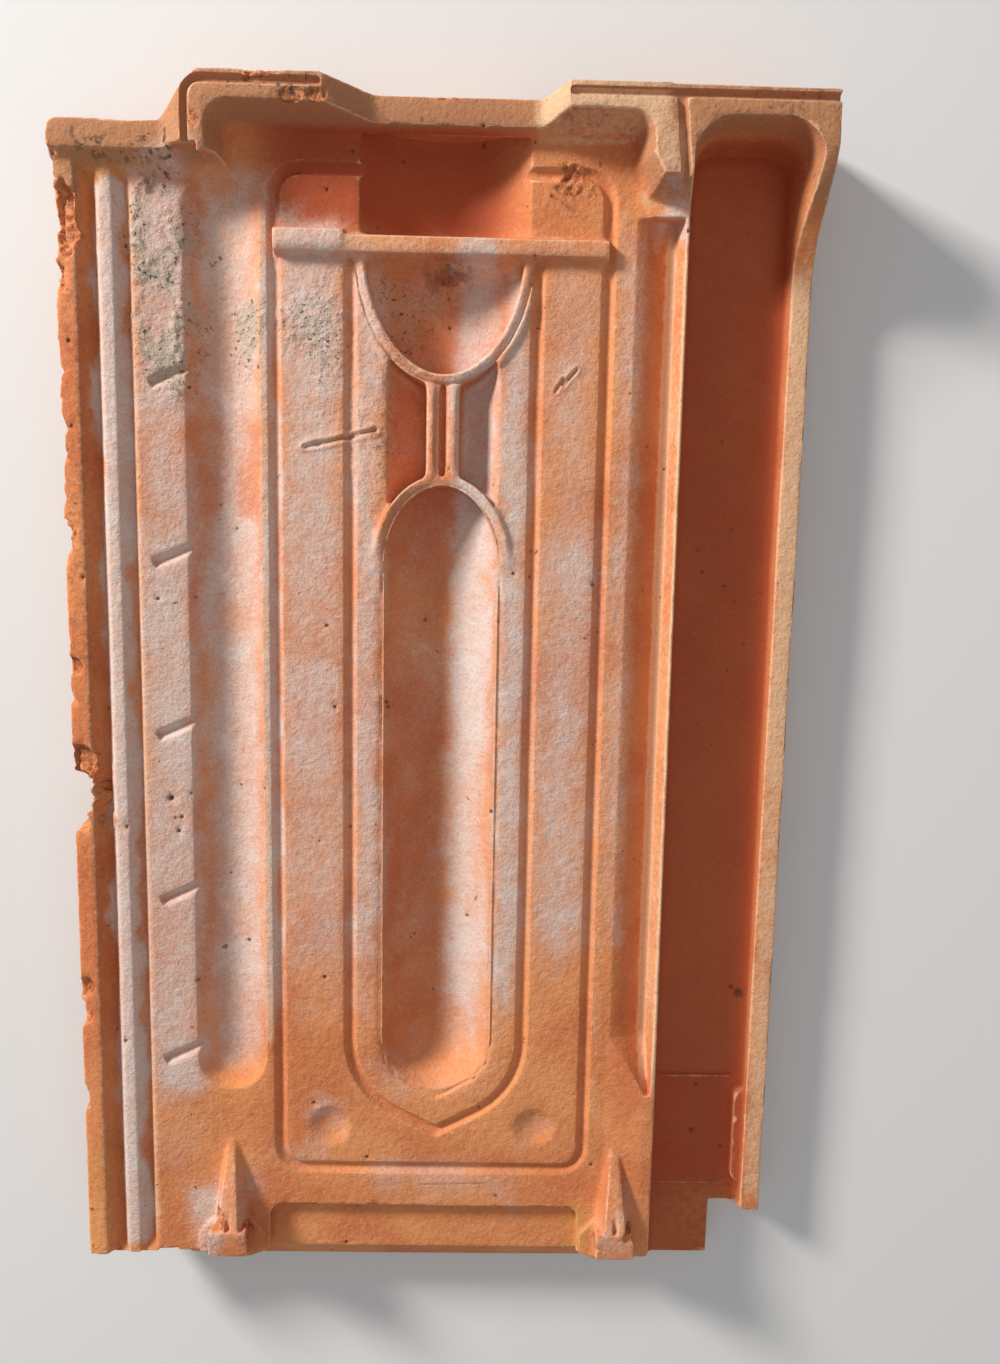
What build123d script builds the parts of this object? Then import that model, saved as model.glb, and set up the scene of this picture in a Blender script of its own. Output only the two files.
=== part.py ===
from build123d import *
import math
import os

# Interlocking clay roof tile, one pressed and fired piece. It lies on its weather face, with the
# underside up. X runs across the tile, from the under-lap side to the cover side, Y runs up towards
# the nose, and Z is up. The origin is the middle of the footprint. Millimetres.

# Overall
LENGTH = 431.0
WIDTH = 258.0
CREST = 25.0            # panel face above the weather-side crests that the tile lies on
PAN = 10.0              # clay thickness at the flat pans

# Under-lap side, widths counted in from the edge
FLANGE_W = 7.5
SLOPE_W = 3.9           # flange edge down to the first groove
RIDGE_W = 11.5          # first groove to the second, over the ridge between them
RIDGE_TOP = 4.4
GROOVE_RISE = 2.0       # second groove up to the band
BAND_W = 17.1
FLANGE_H = 6.0          # heights above the panel face
RIDGE_H = 4.0
BAND_H = 2.0
GROOVE_DEPTH = 1.0
FLANGE_T = 10.0         # clay thickness at the flange
UPSTAND_DROP = 14.5     # weather-side upstands below the panel face
CHANNEL_DROP = 6.5      # weather-side channels below the panel face
UPSTAND_W = 6.0

# Side trough, over the weather-side rib
SIDE_HALF = 12.5
SIDE_DEPTH = 6.5
SIDE_GAP = 5.0          # from the trough to the frame line
SIDE_CREST_W = 10.0
RIB_T = 10.5            # clay under the side trough
TROUGH_HEAD_GAP = 77.5  # from the head edge to where both side troughs run out
TROUGH_FADE = 22.0
TROUGH_NOSE_GAP = 9.0   # middle of its round nose end, from the lip's ledge

# Diagonal nicks on the band
NICKS = 5
NICK_PITCH = 61.3
NICK_IN = 13.0          # middle of a nick, from the band's left edge
NICK_LENGTH = 18.0
NICK_WIDTH = 4.4
NICK_DEPTH = 2.2
NICK_ANGLE = 24.0

# Line round the panel
FRAME_NOSE_GAP = 25.0
FRAME_HEAD_GAP = 46.0
FRAME_R = 9.0
LINE_W = 1.8            # bottom of a pressed line
LINE_DEPTH = 1.9
LINE_DRAFT = 35.0       # lean of its walls

# Long loop in the middle, with its trough
LOOP_SHIFT = 1.0        # off the middle of the panel, as pressed
OUTER_HALF = 32.0
INNER_HALF = 20.0
CLOSE_ANGLE = 27.6      # slope of the loop's closing sides
OUTER_R = 32.0
INNER_R = 21.0
OUTER_TIP_GAP = 15.0    # outer point above the frame line
TIP_STEP = 13.0         # inner point above the outer one
CENTRE_DEPTH = 13.5
FLOOR_GAP = 22.5        # end of the trough's floor above the inner point
STEP_DEPTH = 1.2
STEP_LEDGE = 0.9        # between the step's wall and the trough

# Hourglass rib over the centre trough
BAR_GAP = 49.5          # from the nose edge to the cross bar
BAR_W = 7.0
BAR_H = 3.6
BAR_STEP = 0.8          # the bar's left end stands this much higher
BAR_STEP_W = 24.0
BAR_SLOPE = 7.0         # run of the sloping web under the bar
BOWL_HALF = 29.0
BOWL_L = 43.5
NECK_L = 34.0
NECK_W = 12.0
NECK_SLOT = 2.0
NECK_SLOT_DEPTH = 3.0
HOOP_HALF = 22.0
HOOP_L = 30.0
RIB_W = 4.2
RIB_H = 0.8

# Cover side, widths counted in from the edge
WALL_W = 5.5
WALL_DRAFT = 3.0
HOLLOW_W = 34.5
HOLLOW_DEPTH = 17.0
HOLLOW_R = 4.5          # rounding between its floor and its walls
HOLLOW_CORNER = 9.0     # rounding of its nose corners, seen from above
HOLLOW_DRAFT = 7.0      # lean of its walls
COVER_RIDGE_W = 3.2     # crest between the cover trough and the cover hollow
COVER_RIDGE_H = 3.0
VALLEY_W = 3.6          # crest down to the bottom of the cover trough
VALLEY_RUN = 14.0
VALLEY_DEPTH = 6.5
COVER_GAP = 8.2         # from the trough to the frame line
RIM_NOSE = 7.0          # rim of the outer wall below the panel face
RIM_HEAD = 10.0
PAD_NOSE_GAP = 76.6     # pad in the hollow, from the head edge
PAD_L = 46.4
PAD_H = 1.4
WALL_PAD_W = 3.0
WALL_PAD_RUN = 6.0

# Weather side
CENTRE_CREST_W = 20.0
CENTRE_BASE_W = 66.0
ROLL_T = 8.0            # clay over the cover hollow, as far as the crest
ROLL_EDGE = 7.0
ROLL_SHOULDER = 7.5

# Nose lip
LIP_H = 15.0
LOW_LIP_H = 9.0
CENTRE_LIP_H = 5.5
LIP_W = 9.4
LIP_DRAFT = 18.5
LIP_CORNER = 2.5
SETBACK = 13.5          # low left lip behind the nose edge
LOW_LIP_W = 9.6
LOW_RUN = 7.5
LOW_STEP = 14.0         # run of the slanted edge from the low lip to the tall one
TALL_LEFT_IN = 50.5     # left end of the tall lip, from the under-lap edge
TALL_LEFT_W = 40.0
CENTRE_BACK = 3.2       # centre stretch behind the tall left one
RIGHT_BACK = 0.7        # and the tall right one
END_SLOPE = 16.0        # run of the tall lip's slope down to the centre
CENTRE_SLOPE = 8.0
TALL_RIGHT_IN = 88.0    # left end of the tall right lip, from the cover edge
RETURN_W = 2.4          # wall that turns back at the left end of the tall lip
RETURN_L = 26.4
RETURN_SLOPE = 7.0
LAND_W = 13.6           # block between the lip and the cover ridge
LAND_L = 28.5
LAND_RUN = 10.3         # slope of its end at the cover ridge
LAND_LEFT_RUN = 2.5     # and at the left
LAND_FLARE = 4.3        # its left flank turns this far towards the cover ridge
LAND_FLARE_START = 23.5
DRIP_IN = 2.4
DRIP_SIDE = 5.0         # groove's turned stretch, outside the tall lip's left end
DRIP_W = 2.2
DRIP_DEPTH = 2.2
BRANCH_IN = 7.2         # branch of the groove down the block, from the cover ridge
BRANCH_LEAN = 2.5
BRANCH_W = 2.8
DRIP_R = 6.0
RAMP_L = 35.0           # outer wall's ramp up into the lip
RAMP_GAP = 19.0

# Head
HEAD_SLOPE_W = 12.0     # slope from the underside down to the head edge
HEAD_LOW = 15.5         # head edge below the panel face
SIDE_CUT = 13.0         # under-lap side stops short of the head edge
STOP_L = 7.0            # sloped stops that close its grooves
STOP_H = 3.0
RECESS_W = 18.5
RECESS_DEPTH = 4.0
RECESS_LEFT_GAP = 4.5   # recess past the frame line at the left, and short of it at the right
RECESS_RIGHT_GAP = 1.0
UPSTAND_CREST = 22.0
SHELF_DROP = 13.5
NOTCH_W = 18.5
NOTCH_L = 23.0

# Nibs
NIB_GAP = 15.5          # outside the frame line, each side
NIB_SHIFT = -3.0
NIB_L = 31.0
NIB_FOOT_L = 14.0
NIB_BASE_W = 14.6
NIB_CREST_W = 8.2
NIB_H = 11.0
NIB_FOOT_W = 25.0
NIB_SLOT_W = 1.8
NIB_SLOT_DEPTH = 2.5

# Round dimples
DIMPLE_IN = 18.5        # from the frame line
DIMPLE_UP = 16.8
DIMPLE_R = 7.9
DIMPLE_DEPTH = 2.2

# Worked out from the sizes above: across the tile
LEFT = -WIDTH / 2
RIGHT = WIDTH / 2
GROOVE_1 = LEFT + FLANGE_W + SLOPE_W
GROOVE_2 = GROOVE_1 + RIDGE_W
BAND_LEFT = GROOVE_2 + GROOVE_RISE
BAND_RIGHT = BAND_LEFT + BAND_W
SIDE_X = BAND_RIGHT + SIDE_HALF
FRAME_LEFT = SIDE_X + SIDE_HALF + SIDE_GAP
HOLLOW_RIGHT = RIGHT - WALL_W - WALL_DRAFT
HOLLOW_LEFT = HOLLOW_RIGHT - HOLLOW_W
COVER_RIDGE_X = HOLLOW_LEFT - COVER_RIDGE_W
VALLEY_X = COVER_RIDGE_X - VALLEY_W
VALLEY_START = VALLEY_X - VALLEY_RUN
FRAME_RIGHT = VALLEY_START - COVER_GAP
FRAME_X = (FRAME_LEFT + FRAME_RIGHT) / 2
LOOP_X = FRAME_X + LOOP_SHIFT

# Along the tile
NOSE = LENGTH / 2
HEAD = -LENGTH / 2
FRAME_TOP = NOSE - FRAME_NOSE_GAP
FRAME_BOTTOM = HEAD + FRAME_HEAD_GAP
TROUGH_END = HEAD + TROUGH_HEAD_GAP
OUTER_TIP = FRAME_BOTTOM + OUTER_TIP_GAP
INNER_TIP = OUTER_TIP + TIP_STEP
FLOOR_END = INNER_TIP + FLOOR_GAP
BAR_Y = NOSE - BAR_GAP
BOWL_BOTTOM = BAR_Y - BOWL_L
NECK_BOTTOM = BOWL_BOTTOM - NECK_L
HOOP_Y = NECK_BOTTOM - HOOP_L
LIP_BACK = NOSE - LIP_W
LOW_EDGE = NOSE - SETBACK
TALL_LEFT = LEFT + TALL_LEFT_IN
TALL_RIGHT = RIGHT - TALL_RIGHT_IN
LAND_LEFT = COVER_RIDGE_X - LAND_W
LAND_END = NOSE - LAND_L
RAMP_END = NOSE - RAMP_GAP
RAMP_START = RAMP_END - RAMP_L
HEAD_FACE = HEAD + HEAD_SLOPE_W
RECESS_TOP = HEAD_FACE + RECESS_W
NIB_TOP = HEAD_FACE + NIB_FOOT_L + NIB_L

# Up the tile
FACE = CREST            # height of the panel face
LIP_TOP = FACE + LIP_H
CLEAR = LIP_TOP + 10.0  # above everything, for cuts that run out at the top
MARGIN = 1.0            # how far cuts run past the clay


def along(points, radii, start, end):
    """A solid with the closed outline points in X and Z, run from Y = start to Y = end."""
    outline = FilletPolyline(*points, radius=radii, close=True)
    face = make_face(Plane.XZ.offset(-end) * outline)
    return extrude(face, amount=end - start, dir=(0, -1, 0))


def across(points, left, right):
    """A solid with the closed outline points in Y and Z, run from X = left to X = right."""
    face = make_face(Plane.YZ.offset(left) * Polyline(*points, close=True))
    return extrude(face, amount=right - left, dir=(1, 0, 0))


def plan(points, low, high, radius=0.0, taper=0.0):
    """A solid with the closed plan outline points, from height low to height high."""
    face = make_face(Plane.XY.offset(low) * FilletPolyline(*points, radius=radius, close=True))
    if face.faces()[0].normal_at().Z < 0:
        face = make_face(Plane.XY.offset(low) * FilletPolyline(*reversed(points), radius=radius, close=True))
    return extrude(face, amount=high - low, taper=taper)


def box(left, right, start, end, low, high):
    """A plain block between the given X, Y and Z."""
    return Pos((left + right) / 2, (start + end) / 2, (low + high) / 2) * Box(
        right - left, end - start, high - low
    )


def body():
    """The full-length section: weather face below, under-lap edge, band and cover ridge above."""
    ridge = (GROOVE_1 + GROOVE_2) / 2
    top = [
        (LEFT, FACE + FLANGE_H - 1.0, 1.5),
        (LEFT + FLANGE_W, FACE + FLANGE_H, 1.2),
        (GROOVE_1, FACE - GROOVE_DEPTH, 0.4),
        (ridge - RIDGE_TOP / 2, FACE + RIDGE_H, 1.2),
        (ridge + RIDGE_TOP / 2, FACE + RIDGE_H, 1.2),
        (GROOVE_2, FACE - GROOVE_DEPTH, 0.4),
        (BAND_LEFT, FACE + BAND_H, 1.5),
        (BAND_RIGHT, FACE + 0.6, 3.0),
        (SIDE_X, FACE, 0.0),
        (VALLEY_START, FACE, 4.0),
        (VALLEY_X, FACE + COVER_RIDGE_H, 1.0),
        (COVER_RIDGE_X + 1.0, FACE + COVER_RIDGE_H, 1.0),
        (HOLLOW_LEFT, FACE, 0.0),
        (RIGHT, FACE, 0.0),
    ]
    pan = FACE - PAN
    crest = FACE - SIDE_DEPTH - RIB_T
    channel = FACE - CHANNEL_DROP
    upstand = FACE - UPSTAND_DROP
    bottom = [
        (RIGHT, ROLL_EDGE, 3.0),
        (RIGHT - ROLL_EDGE, 0.0, 6.0),
        (HOLLOW_LEFT + ROLL_SHOULDER, 0.0, 8.0),
        (VALLEY_X + 2.0, pan - 9.0, 6.0),
        (VALLEY_START - 4.0, pan, 8.0),
        (LOOP_X + CENTRE_BASE_W / 2, pan, 3.0),
        (LOOP_X + CENTRE_CREST_W / 2, 0.0, 5.0),
        (LOOP_X - CENTRE_CREST_W / 2, 0.0, 5.0),
        (LOOP_X - CENTRE_BASE_W / 2, pan, 3.0),
        (SIDE_X + SIDE_HALF + 2.0, pan, 3.0),
        (SIDE_X + SIDE_CREST_W / 2, crest, 4.0),
        (SIDE_X - SIDE_CREST_W / 2, crest, 4.0),
        (BAND_RIGHT - 2.0, channel, 2.0),
        (BAND_LEFT + 1.5, channel, 1.5),
        (GROOVE_2 + UPSTAND_W / 2 - 1.0, upstand, 2.0),
        (GROOVE_2 - UPSTAND_W / 2 - 1.0, upstand, 2.0),
        (ridge + 1.0, channel, 0.8),
        (ridge - 1.5, channel, 0.8),
        (GROOVE_1 + UPSTAND_W / 2 - 1.5, upstand, 2.0),
        (GROOVE_1 - UPSTAND_W / 2 - 1.5, upstand, 2.0),
        (LEFT + FLANGE_W - 2.5, FACE + FLANGE_H - FLANGE_T, 1.2),
        (LEFT, FACE + FLANGE_H - FLANGE_T, 2.0),
    ]
    points = [(x, z) for x, z, r in top + bottom]
    radii = [r for x, z, r in top + bottom]
    return along(points, radii, HEAD, NOSE)


def ball(radius):
    """A ball with its poles across the tile, clear of the clay that it cuts."""
    return Rot(0, -90, 0) * Sphere(radius)


def side_trough():
    """Round-bottomed trough with a round end, from the nose lip down the under-lap side."""
    radius = (SIDE_HALF**2 + SIDE_DEPTH**2) / (2 * SIDE_DEPTH)
    height = FACE - SIDE_DEPTH + radius
    stop = TROUGH_END + SIDE_HALF
    end = LOW_EDGE - LOW_LIP_W - LOW_RUN - TROUGH_NOSE_GAP
    length = end - stop
    run = Pos(SIDE_X, stop + length / 2, height) * Rot(90, 0, 0) * Cylinder(radius, length)
    return [run, Pos(SIDE_X, stop, height) * ball(radius), Pos(SIDE_X, end, height) * ball(radius)]


def cover_trough():
    """Trough beside the cover ridge, steep on the ridge side, fading out towards the head."""
    side = COVER_RIDGE_X - 0.4
    rise = [
        (VALLEY_START, FACE + 0.5),
        (VALLEY_START + 5.0, FACE - 1.5),
        (VALLEY_X - 0.8, FACE - VALLEY_DEPTH),
        (VALLEY_X + 0.8, FACE - VALLEY_DEPTH),
        (side, FACE + COVER_RIDGE_H + 0.5),
        (side, FACE + 12.0),
        (VALLEY_START, FACE + 12.0),
    ]
    stop = TROUGH_END + TROUGH_FADE
    run = along(rise, [0.0, 6.0, 1.0, 1.0, 0.0, 0.0, 0.0], stop, LAND_END - LAND_RUN)
    small = [(side + 0.3 * (x - side), FACE + 12.0 + 0.62 * (z - FACE - 12.0)) for x, z in rise]
    near = make_face(Plane.XZ.offset(-stop) * Polyline(*rise, close=True))
    far = make_face(Plane.XZ.offset(-TROUGH_END) * Polyline(*small, close=True))
    return run + loft([near, far])


def trough_bar(half, start, end):
    """Round bar that cuts the centre trough, half wide each side at the panel face."""
    radius = (half**2 + CENTRE_DEPTH**2) / (2 * CENTRE_DEPTH)
    middle = Pos(LOOP_X, (start + end) / 2, FACE - CENTRE_DEPTH + radius)
    return middle * Rot(90, 0, 0) * Cylinder(radius, end - start), radius


def centre_trough():
    """Deep trough down the middle, wider in the bowl and from there to the nose."""
    end = LIP_BACK - 2.0
    run, radius = trough_bar(INNER_HALF - STEP_LEDGE, FLOOR_END, BOWL_BOTTOM + 12.0)
    tail = Pos(LOOP_X, FLOOR_END, FACE - CENTRE_DEPTH + radius) * ball(radius)
    broad, radius = trough_bar(BOWL_HALF, BOWL_BOTTOM, end)
    bowl = Pos(LOOP_X, BAR_Y) * Ellipse(BOWL_HALF, BAR_Y - BOWL_BOTTOM)
    area = bowl + Pos(LOOP_X, (BAR_Y + end) / 2) * Rectangle(2 * BOWL_HALF, end - BAR_Y)
    above = extrude(area, amount=FACE, dir=(0, 0, 1))
    return [run, tail, broad & above]


def loop_outline(half, tip, radius, top):
    """Closed plan outline of the loop: straight sides that close in a point at the head."""
    corner = tip + half * math.tan(math.radians(CLOSE_ANGLE))
    points = [
        (LOOP_X - half, top),
        (LOOP_X - half, corner),
        (LOOP_X, tip),
        (LOOP_X + half, corner),
        (LOOP_X + half, top),
    ]
    return make_face(FilletPolyline(*points, radius=[0.0, radius, 0.0, radius, 0.0], close=True))


def pressed(area, depth):
    """A plan area pressed into the panel face."""
    return extrude(Pos(0, 0, FACE - depth) * area, amount=depth + 4.0, dir=(0, 0, 1))


def line(area):
    """A pressed line along a narrow plan area, with sloping walls."""
    return extrude(Pos(0, 0, FACE - LINE_DEPTH) * area, amount=LINE_DEPTH + 0.1, dir=(0, 0, 1), taper=-LINE_DRAFT)


def loop_line():
    """Pressed line round the loop, from the cross bar to the point and back."""
    half = LINE_W / 2
    shift = half / math.cos(math.radians(CLOSE_ANGLE))
    wide = loop_outline(OUTER_HALF + half, OUTER_TIP - shift, OUTER_R + half, BAR_Y)
    narrow = loop_outline(OUTER_HALF - half, OUTER_TIP + shift, OUTER_R - half, BAR_Y)
    return line(wide - narrow)


def loop_step():
    """Low step inside the loop, from its round top under the neck to its point."""
    top = Pos(LOOP_X, HOOP_Y) * Ellipse(INNER_HALF, HOOP_L)
    return pressed(loop_outline(INNER_HALF, INNER_TIP, INNER_R, HOOP_Y) + top, STEP_DEPTH)


def frame_line():
    """Pressed line round the panel."""
    width = FRAME_RIGHT - FRAME_LEFT
    height = FRAME_TOP - FRAME_BOTTOM
    wide = RectangleRounded(width + LINE_W, height + LINE_W, FRAME_R + LINE_W / 2)
    narrow = RectangleRounded(width - LINE_W, height - LINE_W, FRAME_R - LINE_W / 2)
    return line(Pos(FRAME_X, (FRAME_TOP + FRAME_BOTTOM) / 2) * (wide - narrow))


def nicks():
    """The row of slanted V-cuts on the band."""
    middle = BAND_LEFT + NICK_IN
    side = NICK_WIDTH / math.sqrt(2)
    cutter = Rot(45, 0, 0) * Box(NICK_LENGTH, side, side)
    cuts = []
    for index in range(NICKS):
        y = (index - (NICKS - 1) / 2) * NICK_PITCH
        height = FACE + BAND_H - NICK_DEPTH / 2
        cuts.append(Pos(middle, y, height) * Rot(0, 4, NICK_ANGLE) * cutter)
    return cuts


def cover_hollow():
    """Flat-floored hollow that laps over the next tile, open at the head."""
    floor = FACE - HOLLOW_DEPTH
    start = HEAD - 2 * HOLLOW_R
    end = LIP_BACK - MARGIN - (LIP_TOP - floor) * math.tan(math.radians(HOLLOW_DRAFT))
    pocket = plan(
        [(HOLLOW_LEFT, start), (HOLLOW_LEFT, end), (HOLLOW_RIGHT, end), (HOLLOW_RIGHT, start)],
        floor,
        CLEAR,
        radius=[0.0, HOLLOW_CORNER, HOLLOW_CORNER, 0.0],
        taper=-HOLLOW_DRAFT,
    )
    return fillet(pocket.faces().sort_by(Axis.Z)[0].edges(), HOLLOW_R)


def hollow_pads():
    """Raised pad on the hollow's floor near the head, and the thicker wall beside it."""
    floor = FACE - HOLLOW_DEPTH
    start = HEAD + PAD_NOSE_GAP - PAD_L
    end = HEAD + PAD_NOSE_GAP
    pad = box(HOLLOW_LEFT - 1.0, HOLLOW_RIGHT + 1.0, start, end, floor - 1.0, floor + PAD_H)
    wall = plan(
        [
            (HOLLOW_RIGHT + WALL_DRAFT, start + MARGIN),
            (HOLLOW_RIGHT - WALL_PAD_W, start + WALL_PAD_RUN),
            (HOLLOW_RIGHT - WALL_PAD_W, end - WALL_PAD_RUN),
            (HOLLOW_RIGHT + WALL_DRAFT, end - MARGIN),
        ],
        floor - 1.0,
        FACE - RIM_HEAD - 1.5,
        radius=[0.0, 2.0, 2.0, 0.0],
    )
    return pad + wall


def wall_top():
    """What is cut off above the outer wall's rim, which ramps up into the nose lip."""
    low = (RAMP_START, FACE - RIM_NOSE)
    high = (RAMP_END, LIP_TOP)
    ramp = Spline(low, high, tangents=[(1, 0.1), (1, 0.35)])
    rest = Polyline(
        high,
        (NOSE + MARGIN, LIP_TOP),
        (NOSE + MARGIN, CLEAR),
        (HEAD - MARGIN, CLEAR),
        (HEAD - MARGIN, FACE - RIM_HEAD),
        low,
    )
    left = HOLLOW_RIGHT - 4.0
    face = make_face(Plane.YZ.offset(left) * (ramp + rest))
    return extrude(face, amount=RIGHT + MARGIN - left, dir=(1, 0, 0))


def nose_edge():
    """The nose edge in plan, from the under-lap side to the cover side."""
    end = TALL_LEFT + TALL_LEFT_W
    return [
        (LEFT, LOW_EDGE),
        (TALL_LEFT - LOW_STEP, LOW_EDGE - 1.0),
        (TALL_LEFT, NOSE),
        (end, NOSE - 0.5),
        (end + END_SLOPE, NOSE - CENTRE_BACK),
        (TALL_RIGHT - CENTRE_SLOPE, NOSE - CENTRE_BACK),
        (TALL_RIGHT, NOSE - RIGHT_BACK),
        (RIGHT, NOSE - RIGHT_BACK - 0.8),
    ]


def nose_block():
    """The lip before its hollows: plan outline raised to the full lip height."""
    points = [(LEFT, RAMP_START)] + nose_edge() + [(RIGHT, RAMP_START)]
    return plan(points, FACE - 3.0, LIP_TOP, radius=[0.0, 4.0, 5.0, 4.0, 0.0, 0.0, 0.0, 0.0, 0.0, 0.0])


def nose_hollows():
    """Everything that is pressed out behind the lip."""
    start = RAMP_START - 10.0
    run = LIP_H * math.tan(math.radians(LIP_DRAFT))
    left = TALL_LEFT + RETURN_W + run
    right = LAND_LEFT - run
    flare = NOSE - LAND_FLARE_START
    cavity = plan(
        [
            (left, start),
            (left, LIP_BACK - run),
            (right, LIP_BACK - run),
            (right, flare),
            (right + LAND_FLARE, flare - 2 * LAND_FLARE),
            (right + LAND_FLARE, start),
        ],
        FACE,
        LIP_TOP + 0.01,
        radius=[0.0, LIP_CORNER, LIP_CORNER, 0.0, 0.0, 0.0],
        taper=-LIP_DRAFT,
    )
    edge = LOW_EDGE - LOW_LIP_W
    low = across(
        [(start, FACE), (edge - LOW_RUN, FACE), (edge, FACE + LOW_LIP_H), (edge + 1.0, CLEAR), (start, CLEAR)],
        LEFT - MARGIN,
        TALL_LEFT,
    )
    end = NOSE - RETURN_L
    behind_return = across(
        [(start, FACE), (end - RETURN_SLOPE, FACE), (end, LIP_TOP), (end + 1.0, CLEAR), (start, CLEAR)],
        TALL_LEFT - MARGIN,
        left,
    )
    ends = []
    for x, slope in ((right - MARGIN, LAND_LEFT_RUN), (HOLLOW_LEFT, LAND_RUN)):
        points = [(start, FACE), (LAND_END - slope, FACE), (LAND_END, LIP_TOP), (start, CLEAR)]
        ends.append(make_face(Plane.YZ.offset(x) * Polyline(*points, close=True)))
    behind_land = loft(ends, ruled=True)
    return [cavity, low, behind_return, behind_land]


def lip_heights():
    """What is cut off above the low stretches of the lip."""
    start = RAMP_START - 10.0
    low_top = FACE + LOW_LIP_H
    low = along(
        [
            (LEFT - MARGIN, low_top),
            (TALL_LEFT - LOW_STEP + 1.0, low_top),
            (TALL_LEFT - DRIP_SIDE, LIP_TOP),
            (TALL_LEFT - DRIP_SIDE, CLEAR),
            (LEFT - MARGIN, CLEAR),
        ],
        0.0,
        start,
        NOSE + MARGIN,
    )
    end = TALL_LEFT + TALL_LEFT_W
    centre_top = FACE + CENTRE_LIP_H
    centre = along(
        [
            (end, LIP_TOP),
            (end + END_SLOPE, centre_top),
            (TALL_RIGHT - CENTRE_SLOPE, centre_top),
            (TALL_RIGHT, LIP_TOP),
            (TALL_RIGHT, CLEAR),
            (end, CLEAR),
        ],
        [2.0, 6.0, 3.0, 1.0, 0.0, 0.0],
        start,
        NOSE + MARGIN,
    )
    return [low, centre]


def drip_grooves():
    """Thin grooves in the top of the lip, set in from its outer edge."""
    y = NOSE - DRIP_IN
    x = TALL_LEFT - DRIP_SIDE
    low = LIP_TOP - DRIP_DEPTH
    high = LIP_TOP + MARGIN
    right = box(TALL_RIGHT, RIGHT + MARGIN, y - RIGHT_BACK - DRIP_W, y - RIGHT_BACK, low, high)
    near = COVER_RIDGE_X - BRANCH_IN
    far = near + BRANCH_LEAN
    stop = LAND_END - MARGIN
    branch = plan([(near, y - MARGIN), (far, stop), (far + BRANCH_W, stop), (near + BRANCH_W, y - MARGIN)], low, high)
    end = TALL_LEFT + TALL_LEFT_W
    stop = NOSE - RETURN_L + 2.0
    left = plan(
        [(x, stop), (x, y), (end, y), (end, y - DRIP_W), (x + DRIP_W, y - DRIP_W), (x + DRIP_W, stop)],
        low,
        high,
        radius=[0.0, DRIP_R, 0.0, 0.0, DRIP_R - DRIP_W, 0.0],
    )
    return [right, branch, left]


def cross_bar():
    """Bar across the panel behind the nose lip, a bridge over the centre trough."""
    front = BAR_Y - BAR_W / 2
    back = BAR_Y + BAR_W / 2
    root = FACE - 2.0
    low = FACE - CENTRE_DEPTH - 1.0
    bar = across(
        [(front - 1.0, root), (front + 0.6, FACE + BAR_H), (back - 0.6, FACE + BAR_H), (back + 0.5, root)],
        FRAME_LEFT,
        FRAME_RIGHT,
    )
    high = FACE + BAR_H + BAR_STEP
    bar += across(
        [(front + 1.0, root), (front + 2.2, high), (back + 1.0, high), (back + 2.0, root)],
        FRAME_LEFT,
        FRAME_LEFT + BAR_STEP_W,
    )
    web = across(
        [(front - 1.0, root), (back + 0.5, root), (back, low), (front - BAR_SLOPE, low)],
        LOOP_X - BOWL_HALF,
        LOOP_X + BOWL_HALF,
    )
    return bar + web


def ring(x_half, y_half, width):
    """An elliptical band of the given width, as a plan face."""
    half = width / 2
    return Ellipse(x_half + half, y_half + half) - Ellipse(x_half - half, y_half - half)


def hourglass():
    """Rib of the hourglass: bowl rim, neck and the hoop that runs into the loop."""
    deep = FACE - CENTRE_DEPTH - 1.0
    span = 4 * BOWL_HALF
    bowl = Pos(LOOP_X, BAR_Y) * (ring(BOWL_HALF, BOWL_L, RIB_W) & Pos(0, -span / 2) * Rectangle(span, span))
    hoop = Pos(LOOP_X, HOOP_Y) * (ring(HOOP_HALF, HOOP_L, RIB_W) & Pos(0, span / 2) * Rectangle(span, span))
    neck = Pos(LOOP_X, (NECK_BOTTOM + BOWL_BOTTOM) / 2) * Rectangle(NECK_W, NECK_L)
    return extrude(Pos(0, 0, deep) * (bowl + hoop + neck), amount=FACE + RIB_H - deep, dir=(0, 0, 1))


def neck_slot():
    """Slot down the middle of the hourglass's neck."""
    half = NECK_SLOT / 2
    return box(LOOP_X - half, LOOP_X + half, NECK_BOTTOM + MARGIN, BOWL_BOTTOM - MARGIN, FACE - NECK_SLOT_DEPTH, CLEAR)


def head_cuts():
    """Recess between the nibs, slope down to the head edge, short under-lap side and notch."""
    side = BAND_LEFT + 8.0
    start = HEAD - MARGIN
    slope = across(
        [(HEAD_FACE, FACE - RECESS_DEPTH + 1.0), (start, FACE - HEAD_LOW), (start, CLEAR), (HEAD_FACE, CLEAR)],
        side,
        RIGHT + MARGIN,
    )
    left = FRAME_LEFT - RECESS_LEFT_GAP
    right = FRAME_RIGHT - RECESS_RIGHT_GAP
    recess = plan(
        [(left, start), (left, RECESS_TOP), (right, RECESS_TOP), (right, start)],
        FACE - RECESS_DEPTH,
        CLEAR,
        radius=[0.0, 5.0, 5.0, 0.0],
    )
    under_lap = box(LEFT - MARGIN, side, start, HEAD + SIDE_CUT, -MARGIN, CLEAR)
    notch = box(RIGHT - NOTCH_W, RIGHT + MARGIN, start, HEAD + NOTCH_L, -MARGIN, CLEAR)
    return [slope, recess, under_lap, notch]


def groove_stops():
    """Sloped stops that close the under-lap grooves at the head."""
    start = HEAD + SIDE_CUT
    deep = FACE - GROOVE_DEPTH - 1.0
    return across(
        [(start, deep), (start + STOP_L + 1.0, deep), (start, FACE + STOP_H)],
        LEFT + FLANGE_W - 1.5,
        BAND_LEFT + 1.0,
    )


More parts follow.
